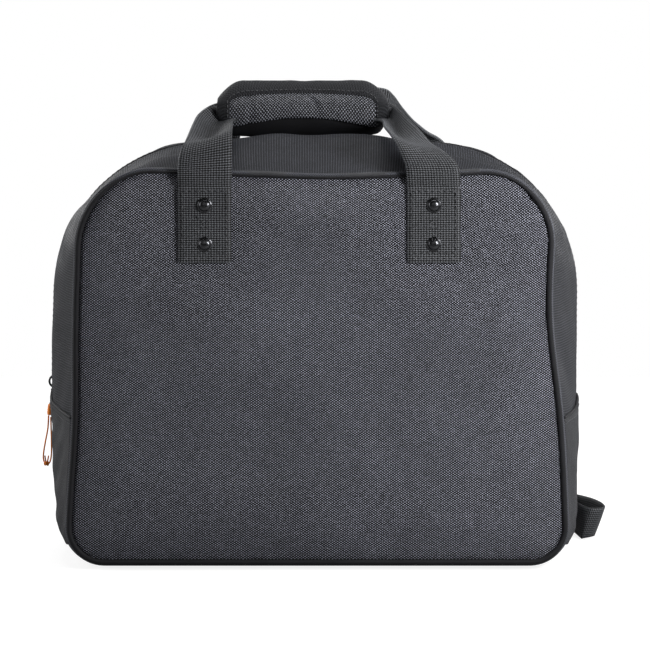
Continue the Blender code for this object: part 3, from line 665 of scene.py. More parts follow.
def ballistic_nylon(name, dark, light, pitch=(0.00254, 0.00179), roughness=0.52, relief=0.00022,
                    specular=0.35, patch=0.16, ribbed=0.0):
    """Heavy nylon: raised thread crossings in staggered rows, each with its own small glint; the crossings are
    painted light and the gaps between them near black, as painted highlight and painted shade of the weave.
    """
    material, tree, shader = new_material(name, roughness, specular=specular, sheen=0.02)
    across, along = cloth_axes(tree, 0.00045)
    ribs = wave(tree, across, pitch[0])
    crossing = maths(tree, "MULTIPLY", ribs, wave(tree, along, pitch[1]))
    if ribbed:
        crossing = blended(tree, crossing, ribs, ribbed)
    grain = noise(tree, 1400.0, 2.0)
    height = blended(tree, ranged(tree, crossing, -1.0, 1.0, 0.0, 1.0), grain, 0.2)
    # Painted highlight on the thread crossings and painted shade between them
    share = ranged(tree, height, 0.55, 0.95, 0.0, 1.0)
    colour = mix_colour(tree, share, dark, light)
    broad = ranged(tree, noise(tree, 11.0, 4.0), 0.3, 0.7, 1 - patch, 1 + patch)
    fine = ranged(tree, noise(tree, 160.0, 3.0), 0.3, 0.7, 0.88, 1.12)
    colour = shade(tree, shade(tree, colour, broad), fine)
    tree.links.new(colour, shader.inputs["Base Color"])
    tree.links.new(ranged(tree, height, 0.1, 0.9, roughness + 0.16, roughness - 0.08), shader.inputs["Roughness"])
    add_bump(tree, shader, height, relief)
    return material


def webbing(name, dark, light, pitch=(0.00204, 0.00165), roughness=0.58, relief=0.00030, specular=0.25):
    """Nylon webbing: ribs along the strap, crossed by rows of threads."""
    material, tree, shader = new_material(name, roughness, specular=specular, sheen=0.08)
    across, along = cloth_axes(tree, 0.00030)
    ribs = wave(tree, across, pitch[0])
    rows = wave(tree, along, pitch[1])
    weave = blended(tree, ribs, rows, 0.58)
    fuzz = noise(tree, 1700.0, 3.0)
    height = blended(tree, ranged(tree, weave, -1.0, 1.0, 0.0, 1.0), fuzz, 0.25)
    colour = mix_colour(tree, ranged(tree, height, 0.38, 0.86, 0.0, 1.0), dark, light)
    broad = ranged(tree, noise(tree, 35.0, 3.0), 0.3, 0.7, 0.86, 1.14)
    tree.links.new(shade(tree, colour, broad), shader.inputs["Base Color"])
    tree.links.new(ranged(tree, height, 0.1, 0.9, roughness + 0.12, roughness - 0.06), shader.inputs["Roughness"])
    add_bump(tree, shader, height, relief)
    return material


def fine_cloth(name, dark, light, pitch=0.0009, roughness=0.7, relief=0.00012, sheen=0.1):
    """Plain thin cloth: binding tape, lining and zip tape."""
    material, tree, shader = new_material(name, roughness, specular=0.22, sheen=sheen)
    across, along = cloth_axes(tree, 0.0002)
    crossing = maths(tree, "MULTIPLY", wave(tree, across, pitch), wave(tree, along, pitch))
    fuzz = noise(tree, 2300.0, 3.0)
    height = blended(tree, ranged(tree, crossing, -1.0, 1.0, 0.0, 1.0), fuzz, 0.4)
    colour = mix_colour(tree, ranged(tree, height, 0.25, 0.75, 0.0, 1.0), dark, light)
    broad = ranged(tree, noise(tree, 45.0, 3.0), 0.3, 0.7, 0.82, 1.18)
    tree.links.new(shade(tree, colour, broad), shader.inputs["Base Color"])
    add_bump(tree, shader, height, relief)
    return material


def spacer_mesh(name):
    """Airy padded mesh with small open cells."""
    material, tree, shader = new_material(name, 0.75, specular=0.2, sheen=0.15)
    across, along = cloth_axes(tree, 0.0002)
    cells = maths(tree, "MULTIPLY", wave(tree, across, 0.0040), wave(tree, along, 0.0046))
    holes = ranged(tree, cells, 0.25, 0.75, 1.0, 0.0)
    colour = mix_colour(tree, holes, (0.004, 0.004, 0.005), (0.050, 0.051, 0.056))
    tree.links.new(colour, shader.inputs["Base Color"])
    add_bump(tree, shader, holes, 0.0006)
    return material


def thread(name, colour):
    material, tree, shader = new_material(name, 0.5, specular=0.35, sheen=0.1)
    twist = noise(tree, 2600.0, 2.0)
    varied = shade(tree, colour, ranged(tree, twist, 0.3, 0.7, 0.7, 1.3))
    tree.links.new(varied, shader.inputs["Base Color"])
    add_bump(tree, shader, twist, 0.0001)
    return material


def moulded(name, colour, roughness=0.42, relief=0.00006):
    """Moulded plastic or rubber with a fine grain and slightly rubbed edges."""
    material, tree, shader = new_material(name, roughness, specular=0.4)
    grain = noise(tree, 1500.0, 2.0)
    rub = noise(tree, 240.0, 4.0)
    varied = shade(tree, colour, ranged(tree, rub, 0.35, 0.75, 0.85, 1.35))
    tree.links.new(varied, shader.inputs["Base Color"])
    tree.links.new(ranged(tree, rub, 0.3, 0.7, roughness - 0.1, roughness + 0.14), shader.inputs["Roughness"])
    add_bump(tree, shader, grain, relief)
    return material


def dark_metal(name, colour, roughness):
    """Black-nickelled metal, brushed by handling."""
    material, tree, shader = new_material(name, roughness, specular=0.5, metallic=1.0)
    wear = noise(tree, 420.0, 4.0)
    bright = tuple(min(1.0, 2.4 * c) for c in colour)
    tinted = mix_colour(tree, ranged(tree, wear, 0.55, 0.80, 0.0, 0.7), colour, bright)
    tree.links.new(tinted, shader.inputs["Base Color"])
    tree.links.new(ranged(tree, wear, 0.3, 0.7, roughness - 0.06, roughness + 0.12), shader.inputs["Roughness"])
    add_bump(tree, shader, noise(tree, 900.0, 2.0), 0.00003)
    return material


def pressed_board(name):
    material, tree, shader = new_material(name, 0.8, specular=0.2)
    fibre = noise(tree, 380.0, 6.0)
    share = ranged(tree, fibre, 0.3, 0.7, 0.0, 1.0)
    colour = mix_colour(tree, share, (0.012, 0.012, 0.013), (0.040, 0.040, 0.043))
    tree.links.new(colour, shader.inputs["Base Color"])
    add_bump(tree, shader, fibre, 0.0003)
    return material


NYLON_PANEL = ballistic_nylon("nylon_panel", (0.0004, 0.0004, 0.0007), (0.470, 0.480, 0.580), relief=0.0007,
                              roughness=0.42, specular=0.26, patch=0.14)
NYLON_BAND = ballistic_nylon("nylon_band", (0.0035, 0.0037, 0.0055), (0.130, 0.137, 0.165),
                             pitch=(0.0019, 0.0014), relief=0.0003, specular=0.20, ribbed=0.30)
NYLON_GRIP = ballistic_nylon("nylon_grip", (0.0040, 0.0042, 0.0055), (0.330, 0.340, 0.395),
                             pitch=(0.0023, 0.0018), relief=0.0006, roughness=0.42, patch=0.08)
NYLON_POCKET = ballistic_nylon("nylon_pocket", (0.0008, 0.0008, 0.0012), (0.120, 0.124, 0.146),
                               relief=0.0005, specular=0.2)
WEBBING = webbing("webbing", (0.0006, 0.0006, 0.0008), (0.125, 0.130, 0.142), relief=0.0005)
STRAP_WEBBING = webbing("strap_webbing", (0.0010, 0.0010, 0.0012), (0.105, 0.110, 0.120),
                        pitch=(0.0017, 0.0013))
BINDING = fine_cloth("binding_tape", (0.002, 0.002, 0.0025), (0.014, 0.014, 0.017), sheen=0.03)
GRIP_BINDING = fine_cloth("grip_binding", (0.001, 0.001, 0.0015), (0.022, 0.023, 0.027), pitch=0.0022,
                          relief=0.0005, sheen=0.05)
# Near black, darker than the lining elsewhere: the grip padding's own dark cover with the deep shade under the
# grip painted in
GRIP_LINING_AND_SHADE = fine_cloth("grip_lining_and_shade", (0.001, 0.001, 0.0014), (0.006, 0.006, 0.008),
                         pitch=0.0015, sheen=0.0)
SEAM_EDGE = fine_cloth("seam_edge", (0.008, 0.0085, 0.011), (0.085, 0.088, 0.104),
                       roughness=0.6, pitch=0.0018)
LINING = fine_cloth("lining", (0.014, 0.014, 0.016), (0.055, 0.056, 0.061), roughness=0.62)
ZIP_TAPE = fine_cloth("zip_tape", (0.007, 0.007, 0.008), (0.036, 0.037, 0.040), pitch=0.0008)
ZIP_COIL = moulded("zip_coil", (0.014, 0.014, 0.015), 0.35)
THREAD = thread("thread", (0.045, 0.046, 0.050))
MESH_LINING = spacer_mesh("spacer_mesh")
BUCKLE = moulded("buckle_plastic", (0.018, 0.018, 0.019))
RIVET = dark_metal("rivet_black_nickel", (0.070, 0.071, 0.076), 0.24)
SLIDER = dark_metal("slider_enamel", (0.035, 0.035, 0.038), 0.32)
RUBBER = moulded("pull_rubber", (0.012, 0.012, 0.013), 0.55)
SLEEVE = moulded("orange_sleeve", (1.0, 0.270, 0.020), 0.5, relief=0.00012)
CORD = fine_cloth("orange_cord", (1.0, 0.230, 0.015), (1.0, 0.340, 0.050), pitch=0.0006)
BOARD = pressed_board("covered_board")


# ---------------------------------------------------------------- camera and light

CAMERA_DISTANCE = 3.0        # from the front panel
CAMERA_RISE = math.radians(5.0)
CAMERA_AIM = Vector((0.0059, -HALF_DEPTH, 0.1817))
VIEW_WIDTH = 0.4778          # what the picture spans at the front panel


def make_camera():
    data = bpy.data.cameras.new("camera")
    camera = bpy.data.objects.new("camera", data)
    bpy.context.scene.collection.objects.link(camera)
    looking = Vector((0.0, math.cos(CAMERA_RISE), -math.sin(CAMERA_RISE)))
    camera.location = CAMERA_AIM - looking * CAMERA_DISTANCE
    camera.rotation_mode = "QUATERNION"
    camera.rotation_quaternion = looking.to_track_quat("-Z", "Y")
    data.lens = data.sensor_width * CAMERA_DISTANCE / VIEW_WIDTH
    data.clip_start = 0.05
    data.clip_end = 50.0
    bpy.context.scene.camera = camera


# Name, place, size and power of each light; all of them face the middle of the bag
LIGHTS = (("key_right", (0.52, -0.58, 0.46), (0.22, 0.28), 7.2),
          ("front_fill", (-0.2, -2.2, 0.9), (1.4, 1.0), 2.0),
          ("side_left", (-1.4, 0.0, 0.55), (1.0, 0.9), 10.0),
          ("side_right", (1.5, 0.05, 0.5), (1.0, 0.9), 9.0),
          ("overhead", (0.0, 0.15, 1.7), (1.2, 0.6), 15.0),
          ("back_left", (-1.2, 1.6, 1.0), (1.1, 1.1), 14.0),
          ("back_right", (1.5, 1.5, 0.9), (1.1, 1.1), 14.0))
LIGHT_AIM = Vector((0.0, 0.0, 0.17))
WORLD_GLOW = 0.06            # on the bag; the backdrop itself looks white
FLOOR_HALF_SIDE = 1.3
FLOOR_GREY = (0.30, 0.30, 0.30)
FLOOR_GLOW = 0.84            # to the camera only


def area_light(name, place, size, power):
    data = bpy.data.lights.new(name, "AREA")
    data.shape = "RECTANGLE"
    data.size, data.size_y = size
    data.energy = power
    light = bpy.data.objects.new(name, data)
    bpy.context.scene.collection.objects.link(light)
    light.location = place
    light.rotation_mode = "QUATERNION"
    light.rotation_quaternion = (LIGHT_AIM - Vector(place)).to_track_quat("-Z", "Y")
    light.visible_camera = False


def make_studio():
    scene = bpy.context.scene
    scene.view_settings.view_transform = "Standard"
    for light in LIGHTS:
        area_light(*light)
    world = bpy.data.worlds.new("studio")
    world.use_nodes = True
    tree = world.node_tree
    background = tree.nodes["Background"]
    seen = add_node(tree, "ShaderNodeLightPath").outputs["Is Camera Ray"]
    tree.links.new(ranged(tree, seen, 0.0, 1.0, WORLD_GLOW, 1.0), background.inputs["Strength"])
    background.inputs["Color"].default_value = (1.0, 1.0, 1.0, 1.0)
    scene.world = world
    make_floor()


def make_floor():
    side = FLOOR_HALF_SIDE
    corners = [(-side, -side, 0.0), (side, -side, 0.0), (side, side, 0.0), (-side, side, 0.0)]
    material, tree, shader = new_material("floor", 0.9, specular=0.0)
    mottle = ranged(tree, noise(tree, 3.0, 2.0), 0.3, 0.7, 0.97, 1.0)
    tree.links.new(shade(tree, FLOOR_GREY, mottle), shader.inputs["Base Color"])
    shader.inputs["Emission Color"].default_value = (1.0, 1.0, 1.0, 1.0)
    # The floor looks white, but lights the bag from below no more than a grey one does
    seen = add_node(tree, "ShaderNodeLightPath").outputs["Is Camera Ray"]
    tree.links.new(ranged(tree, seen, 0.0, 1.0, 0.02, FLOOR_GLOW), shader.inputs["Emission Strength"])
    floor = new_object("floor", corners, [(0, 1, 2, 3)], [material])
    floor.location.z = -0.0004


make_camera()
make_studio()


# ---------------------------------------------------------------- zip pull and its cord

MOUTH_PIVOT = np.array([0.0, 0.0, ZIP_END_Z])
MOUTH_ENDS = (tuple(MOUTH_PIVOT), tuple(MOUTH_PIVOT + 0.098 * np.array([0.0, -0.602, 0.799])))
SLIDER_LOW, SLIDER_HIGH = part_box("zip_slider_body")
PULL_X = JOINTS["zip_pull_swing"]["pos_m"][0]
PULL_Z = JOINTS["zip_pull_swing"]["pos_m"][2]
SLEEVE_LOW_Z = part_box("pull_sleeve")[0].z
SLEEVE_HIGH_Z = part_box("pull_sleeve")[1].z
CORD_R = 0.0006
CORD_SHAPE = [(-0.0009, 0.0), (-0.0015, -0.0100), (-0.0036, -0.0210), (-0.0050, -0.0300), (-0.0047, -0.0350),
              (-0.0027, -0.0375), (-0.0003, -0.0362), (0.0010, -0.0310), (0.0012, -0.0210),
              (0.0010, -0.0100), (0.0008, -0.0012)]
PULL_LEAN = 0.10          # the pocket's mouth pushes the pull outward


def pull_line(heights):
    """The hanging pull's middle line at some heights: it leans out over the pocket."""
    heights = np.asarray(heights, float)
    return np.stack([PULL_X - PULL_LEAN * (PULL_Z - heights), 0 * heights, heights], axis=-1)


def make_pull_cord():
    top = pull_line(SLEEVE_LOW_Z - 0.0003)
    corners = [tuple(top + (x, 0.0, z)) for x, z in CORD_SHAPE]
    route = through(corners, 4)
    cord = tube("pull_cord_loop", route, CORD_R, CORD, sides=8)
    knot_at = top + (-0.0027, 0.0, -0.0372)
    turns = np.linspace(0, 2 * math.pi, 25)[:-1]
    wrap = np.stack([0.0014 * np.cos(turns), 0.0013 * np.sin(turns), 0.0010 * np.sin(2 * turns)], axis=1)
    knot = tube("cord_knot", knot_at + wrap, 0.00072, CORD, sides=8, closed=True)
    tails = []
    for lean in (-0.0012, 0.0016):
        tail = np.array([(0.0, 0.0, 0.0), (lean * 0.6, 0.0004, 0.0026), (lean, 0.0006, 0.0062)])
        tails.append(tube("tail", knot_at + through(tail, 4), CORD_R * 0.9, CORD, sides=8))
    knot = joined("pull_cord_knot", [knot] + tails)
    finish_piece(cord, "zip_pull", "orange", "pull_cord")
    finish_piece(knot, "zip_pull", "orange")


def make_slider_and_pull():
    centre = np.array([(SLIDER_LOW.x + SLIDER_HIGH.x) / 2, 0.0, ZIP_END_Z + 0.0005])
    outer_x = PULL_X + 0.0026
    half_w, half_h, thick = 0.0046, 0.0064, 0.0025
    rows = []
    for rise in np.linspace(-1, 1, 13):
        waist = half_w * (0.80 + 0.20 * abs(rise) ** 1.5)
        rows.append([(outer_x - 0.0007 * (1 - rise * rise) * (1 - t * t), waist * t, centre[2] + half_h * rise)
                     for t in np.linspace(1, -1, 9)])
    plate = slab("slider_plate", np.array(rows), thick, SLIDER, flip=False, edge=0.3)
    turn = np.radians(np.linspace(112, 298, 19))
    arch = spread(outer_x - 0.0004 + 0.0045 * np.cos(turn), 0.0, centre[2] + 0.0045 * np.sin(turn))
    bridge = tube("bridge", arch, 0.00085, SLIDER, sides=10, squash=1.3)
    finish_piece(joined("zip_slider", [plate, bridge]), "zip_slider", "slider", "zip_slider_body")

    ring = np.radians(np.linspace(0, 360, 25)[:-1])
    ring_line = spread(PULL_X, 0.0019 * np.cos(ring), PULL_Z + 0.0019 * np.sin(ring))
    link = tube("link", ring_line, 0.0005, SLIDER, sides=8, closed=True)
    stem_top = PULL_Z - 0.0018
    heights = np.linspace(stem_top, SLEEVE_HIGH_Z, 9)
    waves = 0.0010 + 0.00018 * np.cos(np.linspace(0, 6 * math.pi, 9))
    stem = tube("stem", pull_line(heights), waves, RUBBER, sides=12)
    finish_piece(joined("pull_shank", [link, stem]), "zip_pull", "zip", "pull_stem")

    heights = np.linspace(SLEEVE_HIGH_Z - 0.0002, SLEEVE_LOW_Z, 15)
    share = np.linspace(0, 1, 15)
    radii = 0.0022 - 0.0005 * bell(share, 0.0, 0.09) - 0.0006 * bell(share, 1.0, 0.08)
    radii = radii - 0.00012 * np.cos(share * 30)
    sleeve = tube("rubber_sleeve", pull_line(heights), radii, SLEEVE, sides=16)
    finish_piece(sleeve, "zip_pull", "orange", "pull_sleeve")


make_pull_cord()
make_slider_and_pull()


# ---------------------------------------------------------------- side bands, piping and zip

def zip_edge(fractions):
    """Half width of the gap between the two bands: the zip's slot above its ends, closed below them."""
    above = (np.abs(fractions) - fraction_at(ZIP_END_Z)) * LOOP_LENGTH / 2
    share = np.clip(above / (ZIP_SLOT * 0.7), 0.0, 1.0)
    return ZIP_SLOT * np.sqrt(1 - (1 - share) ** 2)


def band_ripples(grid, share):
    """Soft folds of the side band, none at its seams."""
    held = np.sin(math.pi * np.clip(share, 0, 1)) ** 0.7
    upper = smooth(grid[..., 2], 0.05, 0.15)
    corner = bell(np.abs(grid[..., 0]), 0.170, 0.035) * smooth(grid[..., 2], 0.20, 0.26)
    soft = 0.0011 * ripple(grid, 0.085, 11) + 0.0005 * ripple(grid, 0.034, 12)
    folds = 0.0014 * corner * ripple(grid, 0.030, 13, (1.0, 0.3, 1.0))
    return held * (soft * (0.35 + 0.65 * upper) + folds)


def make_side_bands():
    trees = {}
    fractions, run = whole_loop(440)
    inner = zip_edge(fractions)
    share = np.linspace(0, 1, 34)[:, None]
    start = SEAM_Y - 0.0030
    bands = (("side_band_front", -1, ("gusset_front_upper", "gusset_fold_left", "gusset_fold_right")),
             ("side_band_rear", 1, ("gusset_rear_upper", "base_gusset")))
    for name, sign, nodes in bands:
        depths = sign * (start + (inner[None, :] - start) * share)
        grid = band_points(fractions, depths)
        normals = grid_normals(grid, wrap=True) * sign
        above = smooth(grid[..., 2], ZIP_END_Z - 0.004, ZIP_END_Z + 0.006)
        hem = 0.0005 * smooth(share, 0.90, 0.94) * above
        grid = grid + normals * (band_ripples(grid, share + 0 * depths) + hem)[..., None]
        cloth = spread(run[None, :], depths, 0.0)
        band = slab(name, grid, BAND_T, NYLON_BAND, cloth, lining=LINING, wrap=True, flip=sign < 0)
        trees[sign] = BVHTree.FromObject(band, bpy.context.evaluated_depsgraph_get())
        dress(band, sign, "gusset", *nodes)
    return trees


def laid_on(tree, line, outward, reach=0.006):
    """The line moved onto a surface, from outside."""
    found = [tree.find_nearest(Vector(point + away * reach))[0] for point, away in zip(line, outward)]
    return np.array([tuple(place) for place in found])


def seam_loop(depth, outset, count=420):
    fractions = whole_loop(count)[0]
    return band_points(fractions, np.full((1, count), depth), outset)[0]


def make_piping():
    nodes = {"front": ("piping_front_upper", "piping_front_lower", "piping_fold_left", "piping_fold_right"),
             "rear": ("piping_rear",)}
    for side, sign in (("front", -1), ("rear", 1)):
        cord_path = seam_loop(sign * (SEAM_Y + 0.0002), 0.0)
        top = smooth(cord_path[:, 2], 0.270, 0.290)
        cord = tube(side + "_piping", cord_path, WELT_R - 0.0010 * top, BINDING, sides=10, closed=True)
        rim_path = seam_loop(sign * (SEAM_Y - 0.0021), 0.0014)
        rim = tube(side + "_seam_edge", rim_path, FLANGE_R - 0.0002 * top, SEAM_EDGE, sides=10, closed=True)
        dress(cord, sign, "binding", *nodes[side])
        dress(rim, sign, "gusset")


def zip_fractions(count, low_z=ZIP_END_Z):
    """Fractions from the zip's left end, over the top, to its right end."""
    end = fraction_at(low_z)
    left = np.linspace(-end, -1, count)
    return np.concatenate([left, -left[::-1][1:]])


def make_zip():
    fractions = zip_fractions(150)
    run = np.linspace(0, 1, len(fractions)) * LOOP_LENGTH * (1 - fraction_at(ZIP_END_Z))
    for side, sign in (("front", -1), ("rear", 1)):
        depths = np.repeat(np.linspace(-1, 1, 7)[:, None] * 0.0052, len(fractions), axis=1) + sign * 0.0068
        grid = band_points(fractions, depths, -0.0042)
        cloth = spread(run[None, :], depths, 0.0)
        tape = slab("zip_tape_" + side + "_cloth", grid, 0.0009, ZIP_TAPE, cloth)
        teeth = int(run[-1] / COIL_PITCH)
        fine = zip_fractions(teeth * 3 + 1, ZIP_END_Z + 0.001)
        path = band_points(fine, np.full((1, len(fine)), sign * 0.00085), -0.0033)[0]
        distance = line_lengths(path)
        phase = 0.0 if sign < 0 else math.pi
        turn = 2 * math.pi * distance / COIL_PITCH + phase
        path[:, 1] -= sign * 0.00035 * np.cos(turn)
        coil = tube("zip_coil_" + side, path, 0.00100 + 0.00034 * np.cos(turn), ZIP_COIL, sides=8)
        beside = zip_fractions(260, ZIP_END_Z + 0.004)
        line = band_points(beside, np.full((1, len(beside)), sign * (ZIP_SLOT + 0.0024)))[0]
        above = unit(line - np.array([0.0, 0.0, 0.16]))
        seam = laid_on(BAND_TREES[sign], line, above) - 0.0002 * above
        sewing = stitches("zip_stitching_" + side, seam, above, THREAD, radius=0.00026)
        dress(tape, sign, "zip", "zip_tape_" + side)
        dress(coil, sign, "zip")
        dress(sewing, sign, "webbing")


BAND_TREES = make_side_bands()
make_piping()
make_zip()


# ---------------------------------------------------------------- padded panels

PANEL_INSET = 0.0012


def panel_plan(rows, columns):
    """Grid of X and Z that fills the outline, and each point's distance from the seam."""
    line = half_outline(0.0, -PANEL_INSET)
    rising = even(line[1:-1], rows)
    share = np.linspace(-1, 1, columns)
    x = rising[:, :1] * share[None, :]
    z = np.repeat(rising[:, 1:], columns, axis=1)
    edge = even(line, 260)
    edge = np.concatenate([edge, edge * (-1, 1)])
    gaps = np.hypot(x[..., None] - edge[:, 0], z[..., None] - edge[:, 1])
    return x, z, gaps.min(axis=-1)


def crease(x, z, first, last, width, depth):
    """A soft straight crease between two points on a panel."""
    start, stop = np.array(first), np.array(last)
    along = stop - start
    share = np.clip(((x - start[0]) * along[0] + (z - start[1]) * along[1]) / (along @ along), -0.4, 1.4)
    off = np.hypot(x - start[0] - share * along[0], z - start[1] - share * along[1])
    fade = smooth(share, -0.4, 0.2) * (1 - smooth(share, 0.8, 1.4))
    return depth * fade * np.exp(-(off / width) ** 2)


def front_wrinkles(x, z, distance):
    """How far the front stands out from its padded form."""
    place = np.stack([x, 0 * x, z], axis=-1)
    inner = 1 - np.exp(-distance / 0.018)
    relief = inner * (0.00075 * ripple(place, 0.110, 21) + 0.00026 * ripple(place, 0.040, 22))
    # Short pulls fan out from where the right edge is drawn in
    angle = np.arctan2(z - 0.222, x - 0.192)
    reach = np.hypot(x - 0.192, z - 0.222)
    relief = relief + 0.00060 * np.cos(17 * angle) * bell(reach, 0.044, 0.020)
    relief = relief + crease(x, z, (0.160, 0.276), (0.142, 0.258), 0.0032, -0.0016)
    relief = relief + crease(x, z, (0.166, 0.262), (0.150, 0.248), 0.0040, 0.0010)
    relief = relief + crease(x, z, (-0.172, 0.090), (-0.140, 0.128), 0.0045, -0.0007)
    relief = relief + crease(x, z, (-0.176, 0.150), (-0.150, 0.172), 0.0045, -0.0006)
    return relief + crease(x, z, (0.176, 0.110), (0.150, 0.135), 0.0045, -0.0007)


def make_panel(name, sign, wrinkles):
    x, z, distance = panel_plan(88, 104)
    seam = settle(np.stack([x, np.full_like(x, sign * SEAM_Y), z], axis=-1))
    dome = (1 - np.clip(np.abs(x) / 0.19, 0, 1) ** 2) * (1 - np.clip(np.abs(z - 0.145) / 0.155, 0, 1) ** 2)
    out = 0.1162 + 0.0046 * (1 - np.exp(-distance / 0.0060)) + 0.0026 * dome + wrinkles(x, z, distance)
    grid = seam.copy()
    grid[..., 1] = sign * out
    cloth = np.stack([x, z, 0 * x], axis=-1)
    # The edge, tucked into the piping seam, takes the dark lining colour as painted shade
    panel = slab(name, grid, PANEL_T, NYLON_PANEL, cloth, lining=LINING, flip=sign > 0, edge=0.1,
                 rim_slot=1)
    sewn = (np.abs(np.abs(x) - 0.084) < 0.020) & (z > 0.228)
    stuffed(panel, (distance > 0.004) & ~sewn, 0.0012)
    return panel


def rear_wrinkles(x, z, distance):
    place = np.stack([x, 0 * x, z], axis=-1)
    inner = 1 - np.exp(-distance / 0.018)
    return inner * (0.0005 * ripple(place, 0.100, 31) + 0.0002 * ripple(place, 0.040, 32)) - 0.0022 * inner


FRONT_PANEL = make_panel("front_panel_padding", -1, front_wrinkles)
REAR_PANEL = make_panel("rear_panel_padding", 1, rear_wrinkles)
FRONT_TREE = BVHTree.FromObject(FRONT_PANEL, bpy.context.evaluated_depsgraph_get())
REAR_TREE = BVHTree.FromObject(REAR_PANEL, bpy.context.evaluated_depsgraph_get())


def panel_depth(sign, x, z):
    """Depth of a panel's outer face at a point of it."""
    tree = FRONT_TREE if sign < 0 else REAR_TREE
    hit = tree.ray_cast(Vector((x, sign * 0.3, z)), Vector((0.0, -sign, 0.0)))[0]
    return hit.y if hit else sign * HALF_DEPTH


dress(FRONT_PANEL, -1, "shell", "front_panel_upper", "front_panel_lower", "front_panel_fold")
dress(REAR_PANEL, 1, "shell", "rear_panel")


# ---------------------------------------------------------------- side pockets

def pocket_mouth(y):
    return POCKET_MID_Z - POCKET_DROP * np.abs(y) / BAND_EDGE


def make_side_pockets():
    low = fraction_at(POCKET_LOW_Z)
    across = np.linspace(-POCKET_EDGE, POCKET_EDGE, 61)
    for side, sign in (("left", -1), ("right", 1)):
        columns = np.linspace(0, 1, 44)
        rows = []
        for y in across:
            top = fraction_at(float(pocket_mouth(y)), y)
            rows.append(sign * (low + (top - low) * columns))
        fractions = np.array(rows)
        points = np.zeros((len(across), len(columns), 3))
        for row, y in enumerate(across):
            points[row] = band_points(fractions[row], np.full((1, len(columns)), y))[0]
        normals = grid_normals(points) * (-sign)
        edge = np.minimum(np.abs(np.abs(across) - POCKET_EDGE)[:, None] / 0.02, 1.0)
        foot = np.minimum(columns[None, :] * 0.10 / 0.012, 1.0)
        puff = 0.0017 + 0.0003 * edge * columns[None, :] ** 2
        waves = 0.0011 * ripple(points, 0.046, 41 + sign, (1.0, 1.5, 0.7))
        waves = waves + 0.0005 * ripple(points, 0.022, 51 + sign)
        calm = 1 - 0.8 * columns[None, :] ** 8
        grid = points + normals * (puff + waves * edge * foot * calm)[..., None]
        cloth = spread(across[:, None], fractions * LOOP_LENGTH / 2, 0.0)
        pocket = slab("side_pocket_" + side + "_cloth", grid, POCKET_T, NYLON_POCKET, cloth, lining=LINING,
                      flip=sign > 0)
        rim = tube("pocket_mouth_" + side, grid[:, -1] - normals[:, -1] * 0.0006, 0.0012, BINDING)
        seam_line = grid[:, -3] + normals[:, -3] * 0.0001
        seam = stitches("pocket_stitching_" + side, seam_line, normals[:, -3], THREAD)
        dress(pocket, -1, "shell", "side_pocket_" + side)
        dress(rim, -1, "binding", "pocket_binding_" + side)
        dress(seam, -1, "webbing")


make_side_pockets()


# ---------------------------------------------------------------- tabs and rivets

RIVET_PROFILE = [(0.0, 0.0031), (0.0016, 0.0030), (0.0029, 0.0026), (0.0039, 0.0018), (0.0044, 0.0009),
                 (0.0046, 0.0005), (0.0053, 0.0004), (0.0055, 0.0001), (0.0053, -0.0003), (0.0016, -0.0003),
                 (0.0016, -0.0088), (0.0038, -0.0088), (0.0040, -0.0093), (0.0036, -0.0099), (0.0, -0.0100)]


def conforming(sign, x, z, lift):
    """A point that far off a panel's outer face."""
    return (x, panel_depth(sign, x, z) + sign * lift, z)


def make_tab(face, side, sign, body):
    low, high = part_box(face + "_tab_" + side)
    lift = 0.0025
    columns = np.linspace(low.x + 0.0002, high.x - 0.0002, 13)
    rows = np.linspace(low.z, high.z, 19)
    grid = np.array([[conforming(sign, x, z, lift) for x in columns] for z in rows])
    middle = grid[:, :, 1].mean()
    grid[:, :, 1] = middle + (grid[:, :, 1] - middle) * 0.6
    tab = slab(face + "_tab_" + side + "_webbing", grid, WEBBING_T, WEBBING, flip=sign > 0)
    finish_piece(tab, body, "webbing", face + "_tab_" + side)

    surface = middle + sign * 0.0001
    inset = 0.0028
    left, right, foot, head = low.x + inset, high.x - inset, low.z + 0.0025, high.z - 0.0025
    lines = [[(left, foot), (right, foot)], [(left, foot + 0.0042), (right, foot + 0.0042)],
             [(left, foot), (left, head)], [(right, foot), (right, head)], [(left, head), (right, head)]]
    rivets = [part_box(face + "_rivet_" + side + "_" + level) for level in ("low", "high")]
    centre = (low.x + high.x) / 2
    z_low, z_high = ((box[0].z + box[1].z) / 2 for box in rivets)
    cross = 0.0065
    lines += [[(centre - cross, z_low + 0.007), (centre + cross, z_high - 0.007)],
              [(centre + cross, z_low + 0.007), (centre - cross, z_high - 0.007)]]
    rows = [even([(x, surface, z) for x, z in line], 12) for line in lines]
    sewn(face + "_tab_" + side + "_stitching", rows, (0.0, sign, 0.0), body)
    for level, box in zip(("low", "high"), rivets):
        place = ((box[0].x + box[1].x) / 2, surface + sign * 0.0003, (box[0].z + box[1].z) / 2)
        name = face + "_rivet_" + side + "_" + level
        rivet = lathe(name + "_cap", RIVET_PROFILE, place, (0.0, sign, 0.0), RIVET)
        finish_piece(rivet, body, "rivet", name)


for face, sign, body in (("front", -1, "front_half"), ("rear", 1, "shell")):
    for side in ("left", "right"):
        make_tab(face, side, sign, body)


# ---------------------------------------------------------------- handles

def bend_ends(joint):
    """Two points on a handle's hinge line, at the low and high end of its webbing's bend."""
    hinge_y = JOINTS[joint]["pos_m"][1]
    return (0.0, hinge_y, BEND_LOW_Z), (0.0, hinge_y, BEND_HIGH_Z)


BEND_LOW_Z = 0.2835
BEND_HIGH_Z = 0.2985
